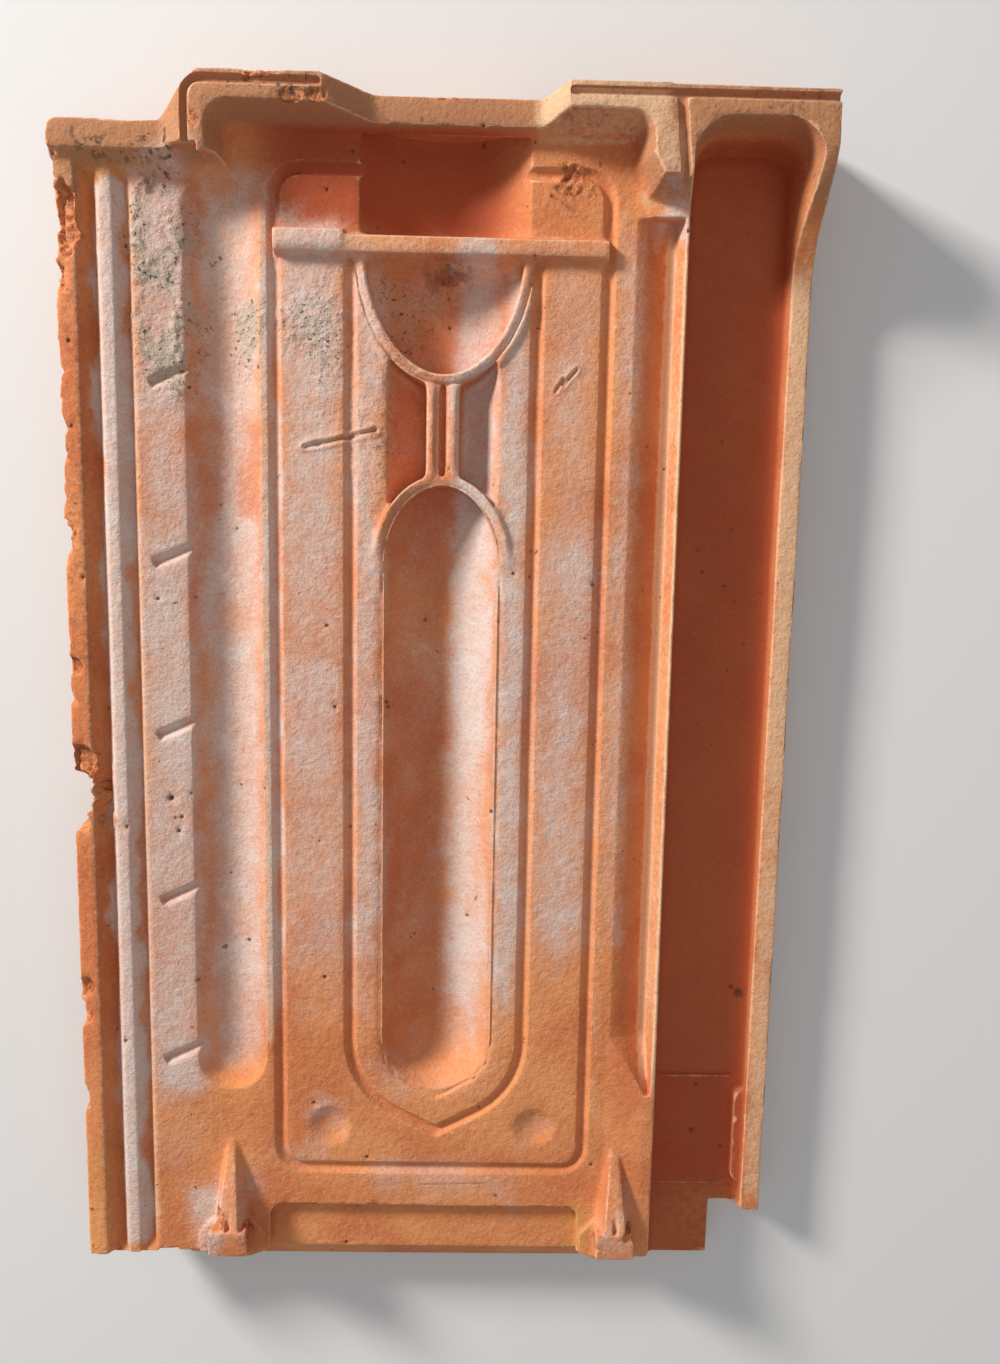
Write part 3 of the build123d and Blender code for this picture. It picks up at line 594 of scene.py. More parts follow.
    # painted shade: dark red where the cover trough, the recess behind the lip and the centre trough's left
    # half lie in shade; darker clay on the flange and the hollow's head pad
    shade_and_dark_clay: tuple[Patch, ...] = (
        Patch(68.0, 77.5, -150.0, 176.0, 0.28, 5.0),  # the cover trough
        Patch(-60.0, 26.0, 171.0, 206.0, 1.0, 26.0, 12.0),  # the recess behind the lip
        Patch(-19.0, 3.0, -132.0, 84.0, 0.3, 12.0),  # the centre trough's left half
        Patch(-129.0, -118.0, -180.0, 180.0, 0.25, 6.0),  # the under-lap's flange
        Patch(94.0, 122.0, -200.0, -172.0, 0.6, 8.0),  # the hollow's head pad
    )
    crust: tuple[Patch, ...] = (
        Patch(-105.0, -83.0, 150.0, 176.0, 1.0, 14.0),  # the band's nose end
        Patch(-105.0, -83.0, 124.0, 146.0, 1.0, 14.0),  # the band below it
        Patch(-104.0, -84.0, 118.0, 170.0, 0.6, 14.0),  # the whole of both
        Patch(-74.0, -60.0, 122.0, 150.0, 0.85, 12.0),  # the side trough
        Patch(-58.0, -32.0, 118.0, 150.0, 0.65, 20.0),  # the left panel
        Patch(-24.0, -4.0, 120.0, 158.0, 0.5, 14.0),  # the bowl
        Patch(-30.0, -4.0, 84.0, 126.0, 0.45, 14.0),  # left of the neck
        Patch(-8.0, 14.0, 152.0, 162.0, 0.8, 6.0),  # under the cross bar
        Patch(-90.0, -80.0, -200.0, -186.0, 0.6, 8.0),  # the left nib's foot
    )
    clods: tuple[Patch, ...] = (
        Patch(-5.0, 10.0, 155.0, 162.0, 0.6, 5.0),  # under the cross bar
        Patch(75.0, 79.0, 181.0, 186.0, 0.4, 4.0),  # the block behind the lip
        Patch(-104.0, -96.0, 181.0, 187.0, 0.6, 5.0),  # the band's nose end
    )
    mould: tuple[Patch, ...] = (
        Patch(-120.0, -88.0, 184.0, 196.0, 1.0, 5.0),  # the low left lip
        Patch(-70.0, -40.0, 207.0, 217.0, 0.9, 5.0),  # the tall left lip
        Patch(40.0, 74.0, 209.0, 216.0, 0.4, 4.0),  # the tall right lip
        Patch(84.0, 128.0, 207.0, 216.0, 0.35, 6.0),  # the cover's lip
        Patch(-130.0, -120.0, -60.0, 190.0, 0.3, 8.0),  # the under-lap's flange
    )
    yellow: tuple[Patch, ...] = (
        Patch(-132.0, -120.0, -200.0, -158.0, 0.7, 10.0),  # the flange's head end
        Patch(50.0, 62.0, -204.0, -186.0, 1.0, 8.0),  # the right nib's foot
        Patch(-124.0, -94.0, 184.0, 192.0, 0.5, 5.0),  # the low left lip
        Patch(94.0, 120.0, -214.0, -186.0, 0.35, 14.0),  # the head's edge under the hollow
    )

    def masks(self, skin: "Skin") -> dict[Mask, np.ndarray]:
        """The masks of the whole skin.

        Args:
            skin: the skin before it is broken, with its crests, cavities and damage worked out.

        Returns:
            Values for each mask.
        """
        points, normals = skin.points, skin.normals
        x, y, z = points[:, 0], points[:, 1], points[:, 2]
        up = step(normals[:, 2], -0.2, 0.3) * step(z, 5.0, 9.0)
        upper = up > 0.0
        some = points[upper]
        cloud, streak, crumb = (np.full(len(points), 0.5) for _ in range(3))
        cloud[upper] = Lattice(self.seed + 11).layered(some, 26.0, 4)
        streak[upper] = Lattice(self.seed + 12).layered(some, 7.0, 3, (1.0, 5.0, 1.0))
        crumb[upper] = Lattice(self.seed + 15).layered(some, 5.0, 5, (1.0, 0.7, 1.0))
        loose = points.copy()
        loose[upper, 0] += self.drift_across * (Lattice(self.seed + 13).layered(some, 11.0, 3) - 0.5)
        loose[upper, 1] += self.drift_along * (Lattice(self.seed + 14).layered(some, 17.0, 4) - 0.5)
        ending = step(loose[:, 1] + 40.0 * (streak - 0.5), *self.ending) * step(y, -146.0, -134.0)
        salt = most(self.salt, loose) * (0.8 + 0.5 * (cloud - 0.45) + 0.35 * (streak - 0.45)) * up
        salt *= 1.0 - 0.42 * ending * step(x, -66.0, -58.0)
        blush = most(self.warm, loose) * step(cloud + 0.5 * (streak - 0.5), 0.3, 0.6) * up
        crust = most(self.crust, loose) * step(cloud + 0.6 * (streak - 0.5), 0.3, 0.56) * up
        # painted shade: the cover hollow's floor is painted dark red for the shade it lies in
        floor = step(x, HOLLOW_LEFT, HOLLOW_LEFT + 2.5) * step(x, HOLLOW_RIGHT, HOLLOW_RIGHT - 2.0)
        floor = floor * step(z, RIM_HEIGHT, 20.0) * step(normals[:, 2], -0.4, 0.1)
        # darker brown on the nose lips' tops, partly painted shade
        lip = step(z, FACE + 1.5, FACE + 6.0) * step(y, LIP_START, LIP_START + 12.0)
        return {
            Mask.CREST: skin.crest,
            Mask.CAVITY: skin.cavity,
            Mask.BROKEN: skin.broken,
            # less salt under the blush, which in the centre trough and bowl is painted shade
            Mask.BLOOM: salt * (1.0 - 0.75 * skin.broken) * (1.0 - 0.75 * blush),
            Mask.BLUSH: blush,
            Mask.MORTAR: crust * (1.0 - skin.broken),
            Mask.DEEP: np.maximum(floor, most(self.shade_and_dark_clay, points)) * up,
            Mask.LIP: lip * up,
            # painted highlights on the lit rims, partly worn clay
            Mask.RIM: most(self.lit_and_worn_rims, points) * step(normals[:, 2], 0.05, 0.5) * step(z, 12.0, 15.0),
            Mask.LICHEN: most(self.mould, loose) * up,
            Mask.OCHRE: most(self.yellow, points) * step(cloud, 0.3, 0.5) * up,
            Mask.SOIL: np.maximum(skin.soiled, most(self.clods, points) * step(crumb, 0.44, 0.54) * up),
            Mask.WEATHER: 1.0 - step(normals[:, 2], -0.6, 0.0) * step(z, 2.0, 9.0),
        }


# The clay's shape


@dataclass
class Skin:
    """The clay's surface as arrays, with what has been worked out about each point."""

    points: np.ndarray
    edges: np.ndarray
    normals: np.ndarray
    crest: np.ndarray
    cavity: np.ndarray
    broken: np.ndarray
    soiled: np.ndarray

    @classmethod
    def of(cls, mesh: bpy.types.Mesh) -> "Skin":
        """Reads a mesh.

        Args:
            mesh: the mesh, in metres.

        Returns:
            Its skin, in millimetres, with nothing worked out yet.
        """
        points = np.zeros(len(mesh.vertices) * 3, np.float32)
        mesh.vertices.foreach_get("co", points)
        edges = np.zeros(len(mesh.edges) * 2, np.int32)
        mesh.edges.foreach_get("vertices", edges)
        normals = np.zeros(len(mesh.vertices) * 3, np.float32)
        mesh.vertex_normals.foreach_get("vector", normals)
        none = np.zeros(len(mesh.vertices))
        points = points.reshape(-1, 3).astype(float) / MM
        return cls(points, edges.reshape(-1, 2), normals.reshape(-1, 3).astype(float), none, none, none, none)

    def relaxed(self, values: np.ndarray, passes: int, share: float = 0.5) -> np.ndarray:
        """Averages each point's values with its neighbours.

        Args:
            values: one row a point.
            passes: how often.
            share: how far towards the neighbours' mean.

        Returns:
            The smoothed values.
        """
        first, second = self.edges[:, 0], self.edges[:, 1]
        count = np.bincount(self.edges.ravel(), minlength=len(values)).clip(1)
        for _ in range(passes):
            mean = np.empty_like(values)
            for axis in range(values.shape[1]):
                column = values[:, axis]
                total = np.bincount(first, weights=column[second], minlength=len(values))
                total += np.bincount(second, weights=column[first], minlength=len(values))
                mean[:, axis] = total / count
            values = values + (mean - values) * share
        return values


@dataclass
class ClaySurface:
    """The fired tile as a dense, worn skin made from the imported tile's own shape."""

    cell: float = 0.0005
    budget: int = 194000
    hidden_budget: int = 34000
    seed: int = 7
    warp: float = 0.22
    grain: float = 0.045
    settle_passes: int = 2
    near_passes: int = 10
    far_passes: int = 32
    far_share: float = 0.95
    rounding: float = 0.2
    sink: float = 0.1
    mortar_height: float = 0.5
    clod_height: float = 1.9
    margin: float = 1e-6
    blurred: tuple[Patch, ...] = (
        Patch(-31.0, 31.0, 88.0, 124.0, 0.85, 10.0),  # the neck
        Patch(-16.0, 16.0, 150.0, 190.0, 0.5, 8.0),  # round the middle of the cross bar
        Patch(-92.0, -62.0, 160.0, 182.0, 0.8, 10.0),  # the side trough's nose end
        Patch(-60.0, -37.0, -200.0, -150.0, 0.25, 10.0),  # the left end of the head recess
        Patch(-129.0, -98.0, 180.0, 204.0, 0.5, 8.0),  # the low left lip's inner corner
        Patch(-26.0, -17.0, 50.0, 66.0, 0.9, 6.0),  # the hoop's left end
        Patch(19.0, 28.0, 50.0, 66.0, 0.9, 6.0),  # the hoop's right end
        Patch(-130.0, 130.0, 202.0, 217.0, 0.3, 3.0),  # the nose's edge
        Patch(-92.0, -52.0, 196.0, 217.0, 0.3, 4.0),  # the tall left lip
        Patch(-58.0, 58.0, 158.0, 174.0, 0.45, 3.0),  # the cross bar
    )

    def build(self, node: bpy.types.Object) -> bpy.types.Object:
        """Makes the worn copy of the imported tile.

        Args:
            node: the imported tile.

        Returns:
            The new object, in the tile's own frame.
        """
        dense = self.dense(node)
        skin = Skin.of(dense)
        masks = self.wear(skin)
        dense.vertices.foreach_set("co", (skin.points * MM).astype(np.float32).ravel())
        for mask, values in masks.items():
            layer = dense.attributes.new(mask.value, "FLOAT", "POINT")
            layer.data.foreach_set("value", np.clip(values, 0.0, 1.0).astype(np.float32))
        dense.update()
        tile = bpy.data.objects.new("worn_tile", dense)
        bpy.context.scene.collection.objects.link(tile)
        self.thin(tile)
        self.keep_in_box(tile.data)
        tile.data.polygons.foreach_set("use_smooth", [True] * len(tile.data.polygons))
        tile.data.update()
        return tile

    def keep_in_box(self, mesh: bpy.types.Mesh) -> None:
        """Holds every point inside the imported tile's own box.

        Args:
            mesh: the thinned mesh.
        """
        low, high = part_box(NODE)
        points = np.zeros(len(mesh.vertices) * 3, np.float32)
        mesh.vertices.foreach_get("co", points)
        held = np.clip(points.reshape(-1, 3), np.array(low) + self.margin, np.array(high) - self.margin)
        mesh.vertices.foreach_set("co", held.astype(np.float32).ravel())

    def dense(self, node: bpy.types.Object) -> bpy.types.Mesh:
        """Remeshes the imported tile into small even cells.

        Args:
            node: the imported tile.

        Returns:
            The dense mesh.
        """
        mesh = node.data.copy()
        mesh.materials.clear()
        source = bpy.data.objects.new("skin_source", mesh)
        bpy.context.scene.collection.objects.link(source)
        remesh = source.modifiers.new("cells", "REMESH")
        remesh.mode = "VOXEL"
        remesh.voxel_size = self.cell
        graph = bpy.context.evaluated_depsgraph_get()
        dense = bpy.data.meshes.new_from_object(source.evaluated_get(graph))
        bpy.data.objects.remove(source)
        return dense

    def wear(self, skin: Skin) -> dict[Mask, np.ndarray]:
        """Rounds, breaks and roughens the skin, and works out where it is worn, hollow, salted or dirty.

        Args:
            skin: the dense skin, whose points are moved.

        Returns:
            The masks.
        """
        start = skin.relaxed(skin.points, self.settle_passes)
        near = skin.relaxed(start, self.near_passes)
        far = skin.relaxed(near, self.far_passes, self.far_share)
        sharp = np.einsum("ij,ij->i", skin.normals, start - near)
        broad = np.einsum("ij,ij->i", skin.normals, start - far)
        skin.crest = step(sharp, 0.04, 0.24) * 0.6 + step(broad, 0.15, 1.1) * 0.45
        skin.cavity = step(sharp, -0.04, -0.3) * 0.5 + step(broad, -0.15, -1.2) * 0.6
        patchy = Lattice(self.seed).layered(start, 6.0, 4)
        bite = step(patchy, 0.55, 0.66) * step(sharp, 0.06, 0.24)
        upper = step(start[:, 2], 7.0, 11.0)
        worn = start + (far - start) * (bite * 0.4 * upper)[:, None]
        worn += (near - worn) * self.rounding
        worn += (far - worn) * (most(self.blurred, start) * step(skin.normals[:, 2], -0.3, 0.2))[:, None]
        worn, broken, skin.soiled = Damage(self.seed).strike(worn, skin.normals)
        skin.broken = np.maximum(broken, bite * 0.45)
        swell = (Lattice(self.seed + 1).layered(start, 45.0, 2) - 0.5) * 2.0 * self.warp
        sandy = (Lattice(self.seed + 2).layered(start, 2.4, 3) - 0.5) * 2.0 * self.grain * (0.4 + 0.6 * upper)
        worn += skin.normals * (swell + sandy * (1.0 + 1.5 * broken) - self.sink)[:, None]
        skin.points = start
        masks = Weathering(self.seed).masks(skin)
        skin.points = worn + skin.normals * self.lumps(start, masks)[:, None]
        return masks

    def lumps(self, points: np.ndarray, masks: dict[Mask, np.ndarray]) -> np.ndarray:
        """How far mortar grains and clods of dirt stand up.

        Args:
            points: places in millimetres.
            masks: the skin's masks.

        Returns:
            Heights in millimetres.
        """
        height = np.zeros(len(points))
        mortar, soil = masks[Mask.MORTAR], masks[Mask.SOIL]
        some = mortar > 0.05
        grains = Lattice(self.seed + 15).layered(points[some], 1.9, 3)
        height[some] = mortar[some] * self.mortar_height * step(grains, 0.5, 0.72)
        some = (soil > 0.2) & (most(Weathering(self.seed).clods, points) > 0.1)
        clods = Lattice(self.seed + 16).layered(points[some], 2.6, 3)
        height[some] = np.maximum(height[some], soil[some] * self.clod_height * step(clods, 0.4, 0.66))
        return height

    def thin(self, tile: bpy.types.Object) -> None:
        """Takes triangles away where the skin is flat, first on the hidden side and then on the pressed one.

        Args:
            tile: the dense tile.
        """
        mesh = tile.data
        hidden = np.zeros(len(mesh.vertices), np.float32)
        mesh.attributes[Mask.WEATHER.value].data.foreach_get("value", hidden)
        total = len(mesh.loops) - 2 * len(mesh.polygons)
        below = int(total * float((hidden > 0.5).mean()))
        kept = total - below + self.hidden_budget
        for name, chosen, ratio in (
            ("hidden", hidden > 0.5, kept / total),
            ("pressed", hidden <= 0.5, self.budget / kept),
        ):
            group = tile.vertex_groups.new(name=name)
            group.add(np.flatnonzero(chosen).tolist(), 1.0, "REPLACE")
            thinner = tile.modifiers.new(name, "DECIMATE")
            thinner.vertex_group = name
            thinner.ratio = ratio
        graph = bpy.context.evaluated_depsgraph_get()
        thinned = bpy.data.meshes.new_from_object(tile.evaluated_get(graph))
        tile.modifiers.clear()
        tile.vertex_groups.clear()
        tile.data = thinned
        bpy.data.meshes.remove(mesh)
        log.info("skin: %d triangles thinned to %d", total, len(thinned.polygons))


# Shader graph helper


@dataclass(frozen=True)
class Grain:
    """One noise: its lumps a metre, its octaves and how strong the finer ones are."""

    scale: float
    detail: float = 3.0
    rough: float = 0.6


class Graph:
    """Adds and links the nodes of one node tree."""

    def __init__(self, tree: bpy.types.NodeTree) -> None:
        """Keeps the tree."""
        self.nodes = tree.nodes
        self.links = tree.links

    def put(self, socket: Socket, value: Value) -> None:
        """Links or sets one input.

        Args:
            socket: the input.
            value: an output socket or a constant.
        """
        if isinstance(value, Socket):
            self.links.new(value, socket)
        elif socket.type == "RGBA":
            socket.default_value = (*value[:3], 1.0)
        else:
            socket.default_value = value

    def add(self, kind: str, inputs: dict, output: int | str = 0, **settings: str | bool) -> Socket:
        """Adds a node and fills its inputs.

        Args:
            kind: the node's type.
            inputs: values or sockets by input name or number.
            output: the wanted output.
            settings: properties of the node.

        Returns:
            The output socket.
        """
        node = self.nodes.new(kind)
        for name, value in settings.items():
            setattr(node, name, value)
        for name, value in inputs.items():
            self.put(node.inputs[name], value)
        return node.outputs[output]

    def times(self, first: Value, second: Value) -> Socket:
        """Multiplies two values."""
        return self.add("ShaderNodeMath", {0: first, 1: second}, operation="MULTIPLY")

    def sum(self, *terms: tuple[Value, float]) -> Socket:
        """Adds values, each times its own weight.

        Args:
            terms: pairs of value and weight.

        Returns:
            The sum.
        """
        total = self.times(*terms[0])
        for value, weight in terms[1:]:
            total = self.add("ShaderNodeMath", {0: value, 1: weight, 2: total}, operation="MULTIPLY_ADD")
        return total

    def rise(self, value: Value, low: float, high: float, top: float = 1.0) -> Socket:
        """Smooth step of a value from 0 at low to top at high.

        Args:
            value: the value.
            low: where it starts.
            high: where it ends.
            top: the value reached.

        Returns:
            The result.
        """
        inputs = {"Value": value, "From Min": low, "From Max": high, "To Min": 0.0, "To Max": top}
        return self.add("ShaderNodeMapRange", inputs, "Result", interpolation_type="SMOOTHSTEP")

    def grain(self, where: Socket, grain: Grain) -> Socket:
        """Noise at a place."""
        inputs = {"Vector": where, "Scale": grain.scale, "Detail": grain.detail, "Roughness": grain.rough}
        return self.add("ShaderNodeTexNoise", inputs, "Fac")

    def blend(self, share: Value, under: Value, over: Value, kind: str = "MIX") -> Socket:
        """Mixes two colours.

        Args:
            share: how much of the second.
            under: first colour.
            over: second colour.
            kind: blend type.

        Returns:
            The mixed colour.
        """
        return self.add("ShaderNodeMix", {0: share, 6: under, 7: over}, 2, data_type="RGBA", blend_type=kind)

    def mask(self, mask: Mask) -> Socket:
        """Reads one mask of the surface."""
        settings = {"attribute_name": mask.value, "attribute_type": "GEOMETRY"}
        return self.add("ShaderNodeAttribute", {}, "Fac", **settings)

    def cover(self, mask: Mask, share: Value, under: Value, over: Value) -> Socket:
        """Lays a colour over another where a mask has it.

        Args:
            mask: where it lies.
            share: how much of it where the mask is full.
            under: colour below.
            over: colour laid over it.

        Returns:
            The mixed colour.
        """
        return self.blend(self.times(self.mask(mask), share), under, over)


@dataclass(frozen=True)
class FiredClay:
    """The fired clay with its salt bloom, mortar crust, lichen specks, worn edges that are partly painted
    highlights, and painted shade in its hollows.
    """

    # colours, as linear red, green and blue
    orange: Colour = (0.77, 0.295, 0.11)
    red: Colour = (0.64, 0.20, 0.072)
    pale: Colour = (0.78, 0.46, 0.29)
    # deep: dark red for painted shade in the hollow, troughs and recess, and for darker clay in a few places
    deep: Colour = (0.44, 0.075, 0.024)
    # blush: red for real stains, and for painted shade in the centre trough and bowl
    blush: Colour = (0.60, 0.19, 0.10)
    pink: Colour = (0.70, 0.46, 0.37)
    salt: Colour = (0.73, 0.635, 0.575)
    # rim: pale cream for painted highlights on lit rims, partly worn clay
    rim: Colour = (0.80, 0.49, 0.29)
    crust: Colour = (0.52, 0.42, 0.32)
    speck: Colour = (0.055, 0.045, 0.038)
    # lip: darker brown for the nose lips, partly painted shade; also mixed into the weather face
    lip: Colour = (0.47, 0.225, 0.115)
    fresh: Colour = (0.40, 0.12, 0.05)
    ochre: Colour = (0.60, 0.34, 0.08)
    soil: Colour = (0.13, 0.065, 0.035)
    weather: Colour = (0.33, 0.16, 0.09)
    # noises, from the clay's clouds to its grit
    cloud: Grain = Grain(26.0, 4.0)
    fine: Grain = Grain(520.0, 4.0, 0.65)
    rub: Grain = Grain(90.0)
    chalk: Grain = Grain(70.0, 4.0)
    mist: Grain = Grain(900.0, 4.0, 0.8)
    puff: Grain = Grain(190.0, 5.0, 0.7)
    drift: Grain = Grain(65.0, 4.0)
    crumbs: Grain = Grain(420.0, 4.0, 0.7)
    dots: Grain = Grain(620.0)
    blot: Grain = Grain(340.0, 4.0, 0.65)
    spots: Grain = Grain(240.0, 2.0)
    smut: Grain = Grain(800.0, 3.0, 0.7)
    sand: Grain = Grain(1700.0, 2.0)
    polish: Grain = Grain(60.0)
    grit: Grain = Grain(850.0, 4.0, 0.7)
    bumps: Grain = Grain(330.0)
    # surface
    shine: float = 0.25
    matt: float = 0.84
    bump_strength: float = 0.8
    bump_height: float = 0.0008

    def make(self) -> bpy.types.Material:
        """The finished material."""
        material = bpy.data.materials.new(SLOT)
        material.use_nodes = True
        graph = Graph(material.node_tree)
        shader = graph.nodes["Principled BSDF"]
        where = graph.add("ShaderNodeTexCoord", {}, "Object")
        clay = self.clay(graph, where)
        clay = self.deposits(graph, where, clay)
        graph.put(shader.inputs["Base Color"], self.dirt_and_crease_shade(graph, where, clay))
        graph.put(shader.inputs["Roughness"], self.roughness(graph, where))
        graph.put(shader.inputs["Normal"], self.relief(graph, where))
        shader.inputs["Specular IOR Level"].default_value = self.shine
        return material

    def clay(self, g: Graph, where: Socket) -> Socket:
        """The clean fired clay in random darker and paler clouds, with painted shade in its hollows, troughs
        and the recess behind the lip, darker clay in a few places, lips darkened partly as painted shade, and
        pale crests and rims that are partly worn and partly painted highlights.

        Args:
            g: the material's graph.
            where: coordinates.

        Returns:
            The colour.
        """
        cloud = g.grain(where, self.cloud)
        fine = g.grain(where, self.fine)
        clay = g.blend(g.rise(cloud, 0.36, 0.62), self.red, self.orange)
        clay = g.blend(g.rise(fine, 0.52, 0.74, 0.4), clay, self.pale)
        clay = g.blend(g.rise(fine, 0.46, 0.28, 0.4), clay, self.red)
        # red blush: real stains, and painted shade on the centre trough's left half and the bowl
        clay = g.cover(Mask.BLUSH, 0.7, clay, self.blush)
        # painted shade: dark red in the cover hollow, the cover trough, the recess behind the lip and the
        # centre trough's left half
        clay = g.cover(Mask.DEEP, 0.92, clay, self.deep)
        # lips darker brown, partly painted shade
        clay = g.cover(Mask.LIP, 0.8, clay, self.lip)
        weather = g.blend(g.rise(cloud, 0.4, 0.6), self.weather, self.lip)
        clay = g.cover(Mask.WEATHER, 0.85, clay, weather)
        # paler crests: worn clay, partly a painted highlight
        worn = g.sum((g.mask(Mask.CREST), 1.0), (fine, 0.9), (g.grain(where, self.rub), 0.5))
        clay = g.blend(g.rise(worn, 0.9, 1.4, 0.8), clay, self.pale)
        # painted highlights: pale cream on the lit rims, partly worn clay
        rim = g.sum((g.mask(Mask.RIM), 1.0), (fine, 0.5), (g.grain(where, self.chalk), 0.5))
        clay = g.blend(g.rise(rim, 0.75, 1.25, 0.9), clay, self.rim)
        fresh = g.blend(g.rise(fine, 0.4, 0.62), self.fresh, self.orange)
        return g.cover(Mask.BROKEN, 0.85, clay, fresh)

    def deposits(self, g: Graph, where: Socket, clay: Socket) -> Socket:
        """Salt and mortar on the clay.

        Args:
            g: the material's graph.
            where: coordinates.
            clay: the clean clay's colour.

        Returns:
            The colour.
        """
        bloom = g.mask(Mask.BLOOM)
        mist = g.grain(where, self.mist)
        puff = g.grain(where, self.puff)
        drift = g.grain(where, self.drift)
        thin = g.rise(g.sum((bloom, 1.0), (mist, 0.7), (puff, 0.3), (drift, 0.5)), 0.82, 1.62, 0.9)
        clay = g.blend(thin, clay, self.pink)
        thick = g.rise(g.sum((bloom, 1.0), (mist, 1.2), (puff, 0.9), (drift, 0.8)), 1.85, 2.8, 0.92)
        clay = g.blend(thick, clay, self.salt)
        mortar = g.mask(Mask.MORTAR)
        crusted = g.sum((mortar, 1.0), (g.grain(where, self.crumbs), 1.1))
        clay = g.blend(g.rise(crusted, 0.95, 1.45, 0.85), clay, self.crust)
        dots = g.rise(g.grain(where, self.dots), 0.58, 0.66)
        return g.blend(g.times(dots, g.rise(mortar, 0.1, 0.6, 0.85)), clay, self.speck)

    def dirt_and_crease_shade(self, g: Graph, where: Socket, clay: Socket) -> Socket:
        """Lichen, rust-yellow stains, soil in the hollows, painted shade with some dirt in the creases, and
        fine dark grains over everything.

        Args:
            g: the material's graph.
            where: coordinates.
            clay: the colour below.

        Returns:
            The colour.
        """
        blot = g.grain(where, self.blot)
        clay = g.cover(Mask.LICHEN, g.rise(blot, 0.53, 0.6, 0.9), clay, self.speck)
        clay = g.cover(Mask.OCHRE, g.rise(blot, 0.4, 0.58, 0.65), clay, self.ochre)
        # painted shade with some dirt: creases and grooves darkened towards red
        crevice = g.blend(0.6, clay, self.red, "MULTIPLY")
        clay = g.cover(Mask.CAVITY, 0.6, clay, crevice)
        clay = g.blend(g.rise(g.grain(where, self.spots), 0.71, 0.77, 0.7), clay, self.soil)
        clay = g.cover(Mask.SOIL, 0.85, clay, self.soil)
        clay = g.blend(g.rise(g.grain(where, self.smut), 0.55, 0.7, 0.22), clay, self.soil)
        return g.blend(g.rise(g.grain(where, self.sand), 0.56, 0.74, 0.24), clay, self.soil)

    def roughness(self, g: Graph, where: Socket) -> Socket:
        """Roughness: matt everywhere, a little smoother in the cover hollow.

        Args:
            g: the material's graph.
            where: coordinates.

        Returns:
            The roughness.
        """
        varied = g.rise(g.grain(where, self.polish), 0.3, 0.7, 0.12)
        return g.sum((varied, 1.0), (g.mask(Mask.DEEP), -0.18), (self.matt, 1.0))

    def relief(self, g: Graph, where: Socket) -> Socket:
        """Fine sandy relief.

        Args:
            g: the material's graph.
            where: coordinates.

        Returns:
            The bumped normal.
        """
        surface = g.sum((g.grain(where, self.grit), 0.45), (g.grain(where, self.bumps), 0.9))
        changes = ((g.mask(Mask.MORTAR), 1.4), (g.mask(Mask.BROKEN), 1.2), (g.mask(Mask.DEEP), -0.5))
        height = g.times(surface, g.sum(*changes, (1.0, 1.0)))
        inputs = {"Height": height, "Strength": self.bump_strength, "Distance": self.bump_height}
        return g.add("ShaderNodeBump", inputs, "Normal")


# Stage


@dataclass(frozen=True)
class Lamp:
    """One soft lamp aimed at the tile."""

    name: str
    place: Place
    size: float
    watts: float
    colour: Colour


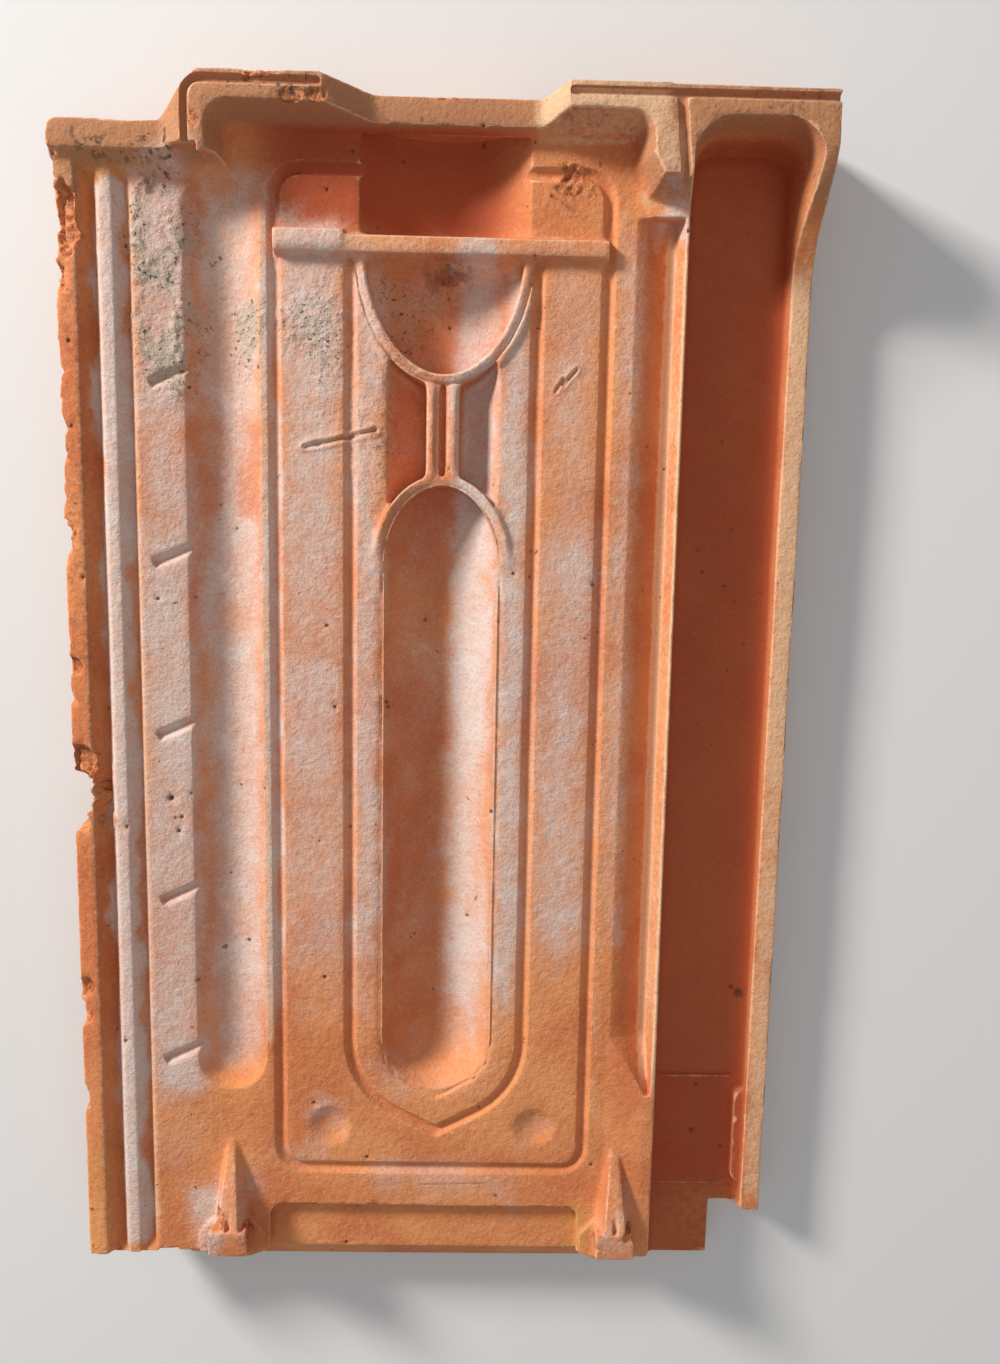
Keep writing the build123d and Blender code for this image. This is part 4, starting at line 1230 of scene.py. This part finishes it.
@dataclass(frozen=True)
class Studio:
    """Pale floor, soft lamps and the camera."""

    floor_colour: Colour = (0.80, 0.79, 0.77)
    floor_size: float = 12.0
    floor_drop: float = 0.0002
    floor_roughness: float = 0.9
    eye: Place = (0.0161, 0.0661, 0.3903)
    turn: Triple = (7.52, 0.93, -1.05)
    lens: float = 27.18
    near: float = 0.01
    surround: Colour = (0.96, 0.97, 1.0)
    surround_level: float = 0.30
    lamps: tuple[Lamp, ...] = (
        Lamp("key", (-1.32, 1.06, 0.70), 0.34, 43.0, (1.0, 0.98, 0.955)),
        Lamp("fill", (0.4, -0.4, 1.8), 1.6, 4.5, (0.98, 0.985, 1.0)),
    )

    def build(self) -> None:
        """Sets up the whole stage."""
        self.floor()
        for lamp in self.lamps:
            self.hang(lamp)
        self.surroundings()
        self.camera()
        bpy.context.scene.view_settings.view_transform = "Standard"

    def floor(self) -> None:
        """Lays the floor."""
        bpy.ops.mesh.primitive_plane_add(size=self.floor_size, location=(0.0, 0.0, -self.floor_drop))
        floor = bpy.context.object
        floor.name = "floor"
        material = bpy.data.materials.new("pale_floor")
        material.use_nodes = True
        shader = material.node_tree.nodes["Principled BSDF"]
        shader.inputs["Base Color"].default_value = (*self.floor_colour, 1.0)
        shader.inputs["Roughness"].default_value = self.floor_roughness
        floor.data.materials.append(material)

    def hang(self, lamp: Lamp) -> None:
        """Hangs one lamp.

        Args:
            lamp: what and where it is.
        """
        light = bpy.data.lights.new(lamp.name, "AREA")
        light.size = lamp.size
        light.energy = lamp.watts
        light.color = lamp.colour
        hung = bpy.data.objects.new(lamp.name, light)
        hung.location = lamp.place
        hung.rotation_euler = (-Vector(lamp.place)).to_track_quat("-Z", "Y").to_euler()
        bpy.context.scene.collection.objects.link(hung)

    def surroundings(self) -> None:
        """Even light from all around."""
        world = bpy.data.worlds.new("surround")
        world.use_nodes = True
        background = world.node_tree.nodes["Background"]
        background.inputs["Color"].default_value = (*self.surround, 1.0)
        background.inputs["Strength"].default_value = self.surround_level
        bpy.context.scene.world = world

    def camera(self) -> None:
        """Sets the camera where the photograph was taken."""
        data = bpy.data.cameras.new("camera")
        data.lens = self.lens
        data.clip_start = self.near
        camera = bpy.data.objects.new("camera", data)
        vector = Vector([math.radians(angle) for angle in self.turn])
        turned = Matrix.Rotation(vector.length, 3, vector.normalized()).transposed()
        camera.matrix_world = Matrix.Translation(self.eye) @ turned.to_4x4()
        bpy.context.scene.collection.objects.link(camera)
        bpy.context.scene.camera = camera


def main() -> None:
    """Builds the tile's looks and the stage."""
    logging.basicConfig(level=logging.INFO, format="%(name)s: %(message)s")
    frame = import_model()
    tile = ClaySurface().build(frame["nodes"][NODE])
    tile.data.materials.clear()
    tile.data.materials.append(FiredClay().make())
    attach(tile, "root")
    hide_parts(NODE)
    log.info("worn tile: %d points", len(tile.data.vertices))
    Studio().build()


if __name__ == "__main__":
    main()
